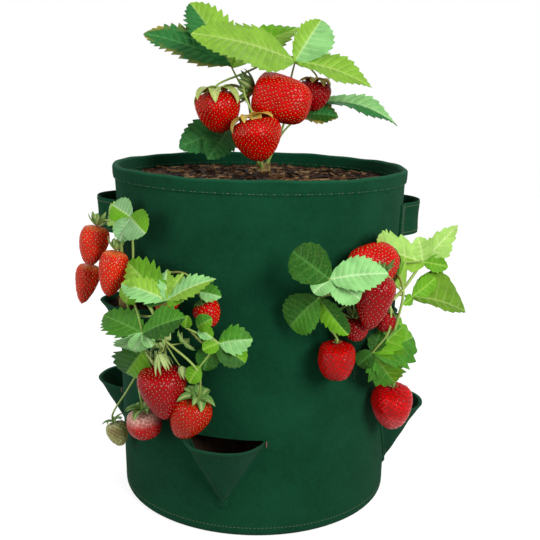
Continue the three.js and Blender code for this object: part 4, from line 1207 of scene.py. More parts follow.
STALK_TAPER_SHARES = (1.15, 0.75)
BLADE_LEAD_SHARE = 0.06
BLADE_STALK_SHARES = (0.75, 0.7, 0.4)
SIDE_STALK_SHARES = (0.7, 0.75, 0.7, 0.4)

# Each green's blade and veins, as 0 to 255. The greens are partly the leaves' own tones and partly painted
# light and shade: a blade in shadow is given a darker green and a lit blade a paler one
GREENS = {
    "lime": ((130, 178, 56), (178, 206, 112)),
    "bright": ((92, 154, 22), (148, 190, 74)),
    "olive": ((92, 136, 30), (146, 172, 88)),
    "mid": ((56, 124, 28), (108, 164, 70)),
    "dark": ((26, 84, 20), (76, 132, 56)),
    "blue": ((32, 112, 54), (92, 158, 84)),
    "mint": ((134, 194, 118), (188, 220, 164)),
    "pale": ((162, 206, 102), (204, 226, 152)),
    "grey": ((120, 168, 112), (196, 218, 178)),
}


def blade_outline(length, start, across, phase, look):
    """How far along and across the blade each point lies, with the teeth on its margin."""
    reach = np.abs(across)
    edge = 1 - (1 - start) ** EDGE_LEAD
    swell = np.sin(math.pi * np.clip(edge, 0, 1) ** look.get("widest", WIDEST_POWER))
    outline = swell ** look.get("blunt", BLUNT_POWER)
    half = length * look["width"] * outline * (1 + look.get("lean", 0) * across)
    half = np.maximum(half, BLADE_ROOT_HALF_WIDTH * (1 - start))
    tooth = np.where(phase < TOOTH_TIP_SHARE, phase / TOOTH_TIP_SHARE, (1 - phase) / (1 - TOOTH_TIP_SHARE))
    tooth = tooth * outline * reach ** TOOTH_POWER
    depth = length * TOOTH_DEPTH_SHARE * look.get("tooth", 1)
    run = (start + (edge - start) * reach ** VEIN_SWEEP_POWER) * length + depth * 0.5 * tooth
    return run, across * half + np.sign(across) * depth * tooth


def blade_lift(length, run, width, across, off_vein, look):
    """How far each point stands off the blade's flat plane: its arch, fold, corrugation and wavy margin."""
    reach = np.abs(across)
    share = run / length
    inner = np.clip(reach, 0, CORRUGATION_END_SHARE)
    quilt = np.sin(math.pi * np.clip(off_vein, 0, 0.5)) * np.sin(math.pi * inner) ** CORRUGATION_POWER
    lift = look.get("arch", ARCH_SHARE) * 4 * share * (1 - share) * length
    lift = lift + look.get("fold", FOLD_SHARE) * np.abs(width)
    lift = lift + CORRUGATION_SHARE * length * quilt
    turn = share * WAVE_COUNT + WAVE_SIDE_SHARE * np.sign(across)
    return lift + WAVE_SHARE * length * reach ** 2 * np.sin(2 * math.pi * turn)


def blade_values(width, across, off_vein, look):
    """The values that the leaf's material reads: tints of both halves and the underside, veins and margin.
    Two greens give a folded blade's halves different tints, partly the leaf's own tones and partly painted
    light on one half and painted shade on the other.
    """
    reach = np.abs(across) + 0 * width
    strength = (VEIN_TIP_SHARE + (1 - VEIN_TIP_SHARE) * (1 - reach)) * (reach < VEIN_STOP_SHARE)
    vein = np.exp(-(off_vein / VEIN_SPREAD_SHARE) ** 2) * strength
    vein = np.maximum(vein, np.exp(-(width / MIDRIB_WIDTH) ** 2)).ravel()
    margin = look.get("margin", 0) * smooth((reach - MARGIN_START_SHARE) / MARGIN_WIDTH_SHARE).ravel()
    names = look["greens"].split()
    far_share = smooth(across * HALVES_STEEPNESS + 0.5)[..., None] + 0 * width[..., None]
    # shade scales a blade's tints: below 1 it is painted shade on blades that lie under others, above 1
    # painted light
    shade = look.get("shade", 1)
    tints = []
    for layer in (0, 1):
        near, far = (np.array(srgb(*GREENS[name][layer])) for name in (names[0], names[-1]))
        tints.append(((near * (1 - far_share) + far * far_share) * shade).reshape(-1, 3))
    tint, vein_tint = tints
    under = (1 - UNDERSIDE_SHARE) * tint + UNDERSIDE_SHARE * np.array(srgb(*UNDERSIDE_COLOUR)) * shade
    return {"tint": np.concatenate([tint, under]), "vein_tint": np.concatenate([vein_tint] * 2),
            "vein": np.concatenate([vein] * 2), "margin": np.concatenate([margin] * 2)}


def leaflet(hub, tip, facing, look):
    """A folded, arched and corrugated blade with side veins that end in teeth: its body and values."""
    along = tip - hub
    length = np.linalg.norm(along)
    along = along / length
    side = unit(np.cross(facing, along))
    normal = np.cross(along, side)
    start = np.linspace(0, 1, look["teeth"] * ROWS_PER_TOOTH + 1)[:, None]
    across = np.linspace(-1, 1, BLADE_COLUMNS + 1)[None]
    phase = start * look["teeth"] % 1
    off_vein = np.abs((phase - TOOTH_TIP_SHARE + 0.5) % 1 - 0.5)
    run, width = blade_outline(length, start, across, phase, look)
    lift = blade_lift(length, run, width, across, off_vein, look)
    middle = hub + run[..., None] * along + width[..., None] * side + lift[..., None] * normal
    shift = normal * BLADE_THICKNESS / 2
    return closed_sheet(middle + shift, middle - shift), blade_values(width, across, off_vein, look)


def leaf(name, node, place, crown_place, table):
    """A leaf's stalk, its blades, and the side stalks of blades that start away from the hub."""
    hub = place(table["hub"])
    bow = UPWARD * STALK_BOW_SHARE * np.linalg.norm(hub - crown_place)
    bends = [place(spot) for spot in table.get("via", ())] or [(crown_place + hub) / 2 + bow]
    path = smooth_path([crown_place, *bends, hub], STALK_STEPS)
    radii = STALK_RADIUS * table.get("thick", 1) * np.linspace(*STALK_TAPER_SHARES, len(path))
    shape = Shape()
    shape.add(tube(path, radii), 1)
    for look in table["blades"]:
        base = place(look.get("start", table["hub"]))
        tip = place(look["tip"])
        body, values = leaflet(base, tip, facing_at(place, table["hub"], look["facing"]), look)
        shape.add(body, 0, **values)
        lead = base + (tip - base) * BLADE_LEAD_SHARE
        if "start" in look:
            side_path, shares = [hub, (hub + base) / 2, base, lead], SIDE_STALK_SHARES
        else:
            side_path, shares = [base, (base + lead) / 2, lead], BLADE_STALK_SHARES
        shape.add(tube(side_path, STALK_RADIUS * np.array(shares)), 1)
    shape.piece(name, [leaf_look, stalk_look], table["slot"], [node])


# Berries

# Radius and along, from the calyx to the tip
BERRY_FORM_SHARES = {
    "heart": [(0, 0), (0.5, 0.01), (0.86, 0.09), (1, 0.28), (0.93, 0.5), (0.71, 0.73), (0.4, 0.91), (0, 1)],
    "cone": [(0, 0), (0.5, 0.01), (0.86, 0.07), (1, 0.22), (0.86, 0.48), (0.58, 0.74), (0.3, 0.91), (0, 1)],
    "round": [(0, 0), (0.5, 0), (0.88, 0.1), (1, 0.36), (0.98, 0.58), (0.78, 0.82), (0.45, 0.95), (0, 1)],
    "block": [(0, 0), (0.55, 0), (0.9, 0.08), (1, 0.3), (0.98, 0.6), (0.86, 0.82), (0.55, 0.96), (0, 1)],
}
BERRY_CELL = 0.00115
SEED_JITTER_SHARE = 0.2
SEED_SUNK_SHARE = 0.8
SEED_TINT_SHARES = (0.75, 1.2)
LOBE_TURNS = (2, 3, 5)
LOBE_SHARES = (0.012, 0.035)
BERRY_MIDDLE_SHARE = 0.45
BERRY_SIDEWAYS_SHARE = 0.55
PALE_TIP_START_SHARE = 0.35
PALE_TIP_FADE_SHARE = 0.3
PALE_LEAST_SHARE = 0.01
PALE_TOP_SHARE = 0.5
PALE_GAIN = 3
GOLDEN_ANGLE = math.pi * (3 - math.sqrt(5))

# Each look's flesh, pale and seed colours as 0 to 255, how far down the pale end reaches (below 0: how pale
# the tip is), and how widely its seeds are spaced
FRUITS = {
    "ripe": ((206, 4, 4), (226, 84, 40), (226, 168, 74), 0.0, 1),
    "dark": ((164, 2, 10), (190, 40, 40), (216, 138, 110), 0.0, 1.05),
    "orange": ((226, 40, 12), (232, 120, 60), (228, 190, 116), 0.25, 0.95),
    "brown": ((188, 24, 10), (214, 110, 50), (220, 166, 78), 0.12, 1),
    "shoulder": ((196, 18, 24), (234, 190, 176), (210, 150, 96), 0.95, 1.05),
    "pinkish": ((214, 10, 14), (236, 86, 90), (150, 44, 34), -0.7, 1.2),
    "russet": ((192, 8, 6), (226, 84, 40), (150, 56, 34), 0.0, 1.1),
    "unripe": ((188, 200, 128), (206, 214, 160), (150, 150, 70), 0.4, 0.9),
}


# A way that no berry hangs in, to measure round a berry from
BERRY_START_WAY = (0.37, 0.61, 0.21)


def frame_along(start, end):
    """Unit vectors across and along the line between two places."""
    along = unit(end - start)
    across = unit(np.cross(along, BERRY_START_WAY))
    return across, np.cross(along, across), along


class Skin:
    """A berry's lobed skin, evenly divided from the calyx to the tip."""

    def __init__(self, calyx, tip, width, form, local):
        self.calyx = calyx
        self.length = np.linalg.norm(tip - calyx)
        self.first, self.second, self.along = frame_along(calyx, tip)
        outline = [(radius, along, 0) for radius, along in BERRY_FORM_SHARES[form]]
        profile = np.maximum(smooth_path(outline, BERRY_STEPS)[:, :2], 0) * np.array([width / 2, self.length])
        steps = lengths_along(profile)
        self.runs = np.linspace(0, steps[-1], math.ceil(steps[-1] / BERRY_CELL) + 1)
        self.radii, self.depths = (np.interp(self.runs, steps, profile[:, axis]) for axis in (0, 1))
        self.lobes = [(turns, local.uniform(0, 2 * math.pi), local.uniform(*LOBE_SHARES))
                      for turns in LOBE_TURNS]

    def place(self, angle, radius, depth):
        swell = 1 + sum(size * np.sin(turns * angle + phase + 2 * depth / self.length)
                        for turns, phase, size in self.lobes)
        around_stalk = np.cos(angle)[..., None] * self.first + np.sin(angle)[..., None] * self.second
        return self.calyx + (radius * swell)[..., None] * around_stalk + depth[..., None] * self.along

    def place_at(self, angle, run):
        radius, depth = (np.interp(run, self.runs, values) for values in (self.radii, self.depths))
        return self.place(angle, radius, depth)

    def outward(self, points):
        away = points - self.calyx - self.along * self.length * BERRY_MIDDLE_SHARE
        return unit(away - (away @ self.along * BERRY_SIDEWAYS_SHARE)[..., None] * self.along)

    def seeds(self, spacing, local):
        """Where each seed starts and ends, in a spiral down the skin, spaced by area."""
        bands = (self.radii[1:] + self.radii[:-1]) * math.pi * np.diff(self.runs)
        areas = np.concatenate([[0], np.cumsum(bands)])
        count = int(areas[-1] / spacing ** 2)
        spots = (np.arange(count) + 0.5) / count * areas[-1]
        jitter = SEED_JITTER_SHARE * SEED_SPACING
        runs = np.interp(spots, areas, self.runs) + local.uniform(-1, 1, count) * jitter
        runs = np.clip(runs, 0, self.runs[-1])
        radii = np.maximum(np.interp(runs, self.runs, self.radii), SEED_SPACING)
        angles = np.arange(count) * GOLDEN_ANGLE + local.uniform(-1, 1, count) * jitter / radii
        ends = np.minimum(runs + SEED_LENGTH, self.runs[-1])
        return list(zip(self.place_at(angles, runs), self.place_at(angles, ends)))


# Slots of the looks that aren't simply ripe
BERRY_SLOTS = {
    "dark": "berry_dark",
    "unripe": "berry_unripe",
    "orange": "berry_pale",
    "shoulder": "berry_pale",
    "pinkish": "berry_pale",
}


def pale_shares(down, reach):
    """How pale the flesh is, at shares of the way down it."""
    if reach < 0:
        return smooth((down - PALE_TIP_START_SHARE) / PALE_TIP_FADE_SHARE) * -reach
    return smooth(1 - down / (max(reach, PALE_LEAST_SHARE) * PALE_TOP_SHARE)) * min(1, reach * PALE_GAIN)


def berry(name, node, calyx, tip, width, look, form, seed):
    """Flesh with a pit round each seed, and the seeds in the pits."""
    tint, pale_tint, seed_tint, pale_reach, seed_scale = FRUITS[look]
    local = np.random.default_rng(seed)
    skin = Skin(calyx, tip, width, form, local)
    seeds = skin.seeds(SEED_SPACING * seed_scale, local)
    column_count = math.ceil(math.pi * width / BERRY_CELL)
    angles = np.linspace(0, 2 * math.pi, column_count, endpoint=False)[None] + 0 * skin.radii[:, None]
    depths = skin.depths[:, None] + 0 * angles
    points = skin.place(angles, skin.radii[:, None] + 0 * angles, depths)
    nearest = np.full(angles.shape, 1.0)
    for spot, _ in seeds:
        nearest = np.minimum(nearest, np.linalg.norm(points - spot, axis=-1))
    pit = np.exp(-(nearest / (PIT_RADIUS * seed_scale)) ** 2)
    points = points - (PIT_DEPTH * pit)[..., None] * skin.outward(points)
    faces = grid_faces(*angles.shape, wrap=True, flip=True)
    pale = pale_shares(depths / skin.length, pale_reach).ravel()
    shape = Shape()
    shape.add((points.reshape(-1, 3), faces), 0, tint=np.array(srgb(*tint)), pit=pit.ravel(), pale=pale,
              pale_tint=np.array(srgb(*pale_tint)))
    for spot, end in seeds:
        if np.linalg.norm(end - spot) < SEED_LENGTH / 3:
            continue
        outward = skin.outward(spot)
        heading = unit(end - spot)
        half = heading * SEED_LENGTH / 2
        base = spot - outward * (PIT_DEPTH * SEED_SUNK_SHARE)
        across = unit(np.cross(heading, outward)) * SEED_WIDTH / 2
        body = spindle(base - half, base + half, across, outward * SEED_HEIGHT)
        shape.add(body, 1, tint=np.array(srgb(*seed_tint)) * local.uniform(*SEED_TINT_SHARES))
    shape.piece(name, [berry_look, seed_look], BERRY_SLOTS.get(look, "berry_ripe"), [node])


# Sepals

# Count, length and half width as shares of the berry's width, lift at the root and the tip in degrees, colour
CALYXES = {
    "star": (8, 0.42, 0.15, 6, -30, (104, 150, 62)),
    "draped": (7, 0.74, 0.14, 22, -84, (178, 194, 104)),
    "amber": (9, 0.56, 0.13, 22, -64, (206, 164, 66)),
    "spiky": (13, 0.5, 0.09, 26, 66, (70, 112, 40)),
    "upright": (8, 0.5, 0.12, 34, 96, (118, 156, 72)),
    "wispy": (13, 0.5, 0.045, 44, 96, (156, 180, 104)),
    "hanging": (9, 0.56, 0.12, 34, -34, (96, 142, 62)),
    "tuft": (5, 0.15, 0.035, 30, 64, (112, 122, 62)),
}
SEPAL_ROWS = 12
SEPAL_COLUMNS = 7
SEPAL_SEAT = 0.0008
SEPAL_ROOT_REACH = 0.0012
SEPAL_TURN_JITTER_SHARE = 0.22
SEPAL_LENGTH_SHARES = (0.75, 1.15)
SEPAL_TINT_SHARES = (0.75, 1.2)
SEPAL_ROOT_JITTER_ANGLE = 8
SEPAL_TIP_JITTER_ANGLE = 22
SEPAL_FOLD_SHARE = 0.35
SEPAL_WIDEST_POWER = 0.75
SEPAL_BLUNT_POWER = 0.8
SEPAL_ROOT_SHARE = 0.06
SEPAL_CURL_POWER = 1.4
SEPAL_VEIN_SHARES = (0, 0, 0.2, 0.7, 0.2, 0, 0)


def sepals(shape, calyx, tip, width, style, seed):
    """A ring of pointed, folded sepals that curl from their root to their tip."""
    count, reach, half_share, root_lift, tip_lift, colour = CALYXES[style]
    first, second, along = frame_along(calyx, tip)
    outward = -along
    shares = np.linspace(0, 1, SEPAL_ROWS + 1)
    outline = np.sin(math.pi * shares ** SEPAL_WIDEST_POWER) ** SEPAL_BLUNT_POWER
    half = width * half_share * np.maximum(outline, SEPAL_ROOT_SHARE * (1 - shares))
    across = np.linspace(-1, 1, SEPAL_COLUMNS)[None, :, None] * half[:, None, None]
    vein = np.tile(SEPAL_VEIN_SHARES, 2 * (SEPAL_ROWS + 1))
    local = np.random.default_rng(seed)
    for order in range(count):
        turn = order + local.uniform(-SEPAL_TURN_JITTER_SHARE, SEPAL_TURN_JITTER_SHARE)
        angle = 2 * math.pi * turn / count
        out = math.cos(angle) * first + math.sin(angle) * second
        length = width * reach * local.uniform(*SEPAL_LENGTH_SHARES)
        root = np.radians(root_lift + local.uniform(-SEPAL_ROOT_JITTER_ANGLE, SEPAL_ROOT_JITTER_ANGLE))
        end = np.radians(tip_lift + local.uniform(-SEPAL_TIP_JITTER_ANGLE, SEPAL_TIP_JITTER_ANGLE))
        lifts = (root + (end - root) * shares ** SEPAL_CURL_POWER)[:, None]
        steps = (np.cos(lifts) * out + np.sin(lifts) * outward) * length / SEPAL_ROWS
        middle = calyx + outward * SEPAL_SEAT + out * SEPAL_ROOT_REACH + np.cumsum(steps, axis=0) - steps[0]
        normals = (np.cos(lifts) * outward - np.sin(lifts) * out)[:, None]
        grid = middle[:, None] + across * np.cross(outward, out) + SEPAL_FOLD_SHARE * np.abs(across) * normals
        shift = normals * SEPAL_THICKNESS / 2
        tint = np.array(srgb(*colour)) * local.uniform(*SEPAL_TINT_SHARES)
        shape.add(closed_sheet(grid + shift, grid - shift), 1, tint=tint, vein=vein)


STEM_TAPER_SHARES = (1.1, 0.75)
PEDICEL_TAPER_SHARES = (1.15, 0.95)
BUD_TAPER_SHARES = (0.9, 0.6)
PEDICEL_SEAT = 0.0006
SEPAL_SEED = 300
BUD_SEED = 400


def nearest_on(path, spot):
    return path[np.argmin(np.linalg.norm(path - spot, axis=1))]


def truss(name, node, place, crown_place, table):
    """A stem that forks to each berry and bud, and ends in their sepals."""
    places = [crown_place, *(place(spot) for spot in table["stem"])]
    path = smooth_path(places, STEM_STEPS)
    shape = Shape()
    shape.add(tube(path, STEM_RADIUS * np.linspace(*STEM_TAPER_SHARES, len(path))), 0)
    for order, entry in enumerate(table["berries"]):
        calyx, tip = place(entry["calyx"]), place(entry["tip"])
        outward = unit(calyx - tip)
        bends = [place(spot) for spot in entry["via"]]
        ends = [calyx + outward * PEDICEL_LEAD, calyx + outward * PEDICEL_SEAT]
        route = smooth_path([nearest_on(path, places[entry["fork"]]), *bends, *ends], STEM_STEPS)
        shape.add(tube(route, PEDICEL_RADIUS * np.linspace(*PEDICEL_TAPER_SHARES, len(route))), 0)
        sepals(shape, calyx, tip, entry["width_share"] * SPREAD, entry["style"], SEPAL_SEED + order)
    for order, entry in enumerate(table.get("buds", ())):
        calyx, tip = place(entry["calyx"]), place(entry["tip"])
        fork = nearest_on(path, calyx)
        route = smooth_path([fork, (fork + calyx) / 2 + unit(calyx - tip) * PEDICEL_LEAD, calyx], BUD_STEPS)
        shape.add(tube(route, PEDICEL_RADIUS * np.linspace(*BUD_TAPER_SHARES, len(route))), 0)
        sepals(shape, calyx, tip, entry["width_share"] * SPREAD, entry["style"], BUD_SEED + order)
    shape.piece(name, [stalk_look, sepal_look], "stalk", [node])


# Radius and height of the crown's outline
CROWN_OUTLINE_SHARES = ((0.05, 0), (0.7, 0), (1, 0.35), (0.9, 0.8), (0.5, 1), (0.05, 1.02))
CROWN_SIDES = 40
CROWN_SCALE_COUNT = 7
CROWN_SCALE_RADII = (0.0022, 0.0018, 0.0008)
CROWN_SCALE_JITTER_SHARE = 0.2
CROWN_SCALE_ROOT_SHARE = 0.6
CROWN_SCALE_REACH_SHARES = (0.9, 1.3)
CROWN_SCALE_RISE_SHARES = (1, 1.5)
CROWN_RIDGE_SHARE = 0.1
CROWN_RIDGE_TURNS = 4.5
MILLIMETRES = 1e3
MICROMETRES = 1e6


def crown(name, node, place, radius):
    """A knobbly crown with the bases of old leaf stalks round it."""
    height = CROWN_RISE + CROWN_SUNK
    outline = [(reach * radius, rise * height - CROWN_SUNK, 0) for reach, rise in CROWN_OUTLINE_SHARES]
    angles = np.linspace(0, 2 * math.pi, CROWN_SIDES, endpoint=False)
    ridges = 1 + CROWN_RIDGE_SHARE * np.abs(np.sin(angles * CROWN_RIDGE_TURNS)) - CROWN_RIDGE_SHARE / 2
    spokes = ridges[:, None] * np.stack([np.cos(angles), np.sin(angles), 0 * angles], -1)
    rows = [place + reach * spokes + UPWARD * rise for reach, rise, _ in smooth_path(outline, CROWN_STEPS)]
    count = len(rows) * CROWN_SIDES
    faces = grid_faces(len(rows), CROWN_SIDES, wrap=True)
    faces += [tuple(reversed(range(CROWN_SIDES))), tuple(range(count - CROWN_SIDES, count))]
    shape = Shape()
    shape.add((np.array(rows).reshape(-1, 3), faces))
    local = np.random.default_rng(int(radius * MICROMETRES) + int(abs(place[0]) * MILLIMETRES))
    for order in range(CROWN_SCALE_COUNT):
        turn = order + local.uniform(-CROWN_SCALE_JITTER_SHARE, CROWN_SCALE_JITTER_SHARE)
        angle = 2 * math.pi * turn / CROWN_SCALE_COUNT
        out = np.array([math.cos(angle), math.sin(angle), 0])
        base = place + out * radius * CROWN_SCALE_ROOT_SHARE
        top = place + out * radius * local.uniform(*CROWN_SCALE_REACH_SHARES)
        top = top + UPWARD * CROWN_RISE * local.uniform(*CROWN_SCALE_RISE_SHARES)
        shape.add(tube([base, (base + top) / 2, top], CROWN_SCALE_RADII))
    shape.piece(name, [crown_look], "crown", [node])


FRUIT_SEED = 100
FRUIT_SEED_STEP = 7


def plant(name, place, crown_shares, crown_radius, table):
    """A crown, its trusses with their berries, and its leaves."""
    crown_place = place(crown_shares)
    crown(f"crown_{name}_scales", f"crown_{name}", crown_place, crown_radius)
    for branch in table["trusses"]:
        suffix = branch["suffix"]
        for order, entry in enumerate(branch["berries"], 1):
            node = f"berry_{name}{suffix}_{order}"
            seed = FRUIT_SEED + FRUIT_SEED_STEP * order + len(name)
            berry(f"{node}_fruit", node, place(entry["calyx"]), place(entry["tip"]),
                  entry["width_share"] * SPREAD, entry["look"], entry["form"], seed)
        truss(f"truss_{name}{suffix}_stems", f"truss_{name}{suffix}", place, crown_place, branch)
    for order, blades in enumerate(table["leaves"], 1):
        leaf(f"leaf_{name}_{order}_blades", f"leaf_{name}_{order}", place, crown_place, blades)


def fruit(calyx, tip, width_share, fork, look, style, via=(), form="heart"):
    """A berry on its pedicel, which leaves the stem at the fork, counted along the stem's places."""
    return {"calyx": calyx, "tip": tip, "width_share": width_share, "fork": fork, "look": look,
            "style": style, "via": via, "form": form}


def bud(calyx, tip, width_share, style):
    return {"calyx": calyx, "tip": tip, "width_share": width_share, "style": style}


def blade(tip, facing, width, greens, teeth, **more):
    """A blade that faces a way. Its half width is a share of its length; it has one green, or two halves."""
    return {"tip": tip, "facing": facing, "width": width, "greens": greens, "teeth": teeth, **more}


# Places are shares of the spread, as top_place and pocket_place take them
TOP_PLANT_SHARES = {
    "trusses": [{"suffix": "", "stem": [(-0.1, 0.05, 0.6), (-0.2, 0.12, 1.22)], "berries": [
        fruit((-0.52, 0.2, 1), (-0.46, 0.2, 0.52), 0.54, 2, "ripe", "draped"),
        fruit((-0.09, 0.44, 0.71), (0.02, 0.48, 0.23), 0.58, 2, "ripe", "amber", [(-0.2, 0.4, 1)]),
        fruit((-0.07, 0.2, 1.02), (0.56, 0.32, 0.84), 0.55, 2, "ripe", "spiky", form="block"),
        fruit((0.64, -0.12, 1.14), (0.6, -0.12, 0.78), 0.42, 2, "dark", "amber", [(0.3, 0, 1.42)]),
    ]}],
    "leaves": [
        {"hub": (0.38, 0.06, 1.36), "slot": "leaf_yellow_green",
         "via": [(0.3, -0.36, 0.7), (0.34, -0.12, 1.15)], "blades": [
            blade((-0.8, 0.42, 1.62), (0, 0.6, 0.8), 0.31, "lime", 16, blunt=0.8, arch=0.05, fold=0.1,
                  lean=0.2),
            blade((0.68, -0.12, 1.84), (0, 0.9, 0.35), 0.36, "mint lime", 9, blunt=0.55, widest=1.1,
                  lean=-0.3),
            blade((1.27, 0.18, 1.08), (0.1, 0.6, 0.85), 0.23, "lime", 11, blunt=0.8)]},
        {"hub": (-0.37, -0.22, 1.29), "slot": "leaf_mid_green", "blades": [
            blade((-1.42, -0.26, 1.64), (0, 0.7, 0.75), 0.23, "blue", 13, blunt=0.85, margin=0.8, tooth=1.3),
            blade((-0.9, -0.58, 2.03), (0.2, 0.9, 0.5), 0.25, "lime blue", 11, tooth=1.4),
            blade((0.46, -0.6, 1.77), (0, 0.6, 0.85), 0.2, "lime bright", 10)]},
        {"hub": (0.5, -0.3, 0.74), "slot": "leaf_dark_green", "blades": [
            blade((1.65, -0.22, 0.63), (0.1, 0.55, 0.9), 0.17, "blue mint", 11, blunt=0.8, arch=0.12,
                  start=(0.74, -0.3, 0.9)),
            blade((0.93, -0.2, 0.72), (0, 0.7, 0.7), 0.36, "dark blue", 8, margin=1, tooth=1.5)]},
        # The blades of this low leaf are darkened by shade: painted shade under the leaves above
        {"hub": (-0.38, -0.2, 0.55), "slot": "leaf_dark_green", "blades": [
            blade((-0.97, 0.02, 0.33), (0, 0.9, 0.5), 0.33, "blue", 9, shade=0.8),
            blade((-0.62, 0.2, 0.22), (0.2, 0.9, 0.5), 0.33, "blue", 9, shade=0.75),
            blade((-0.74, -0.18, 0.64), (0, 0.9, 0.5), 0.3, "blue", 8, shade=0.85)]},
    ],
}

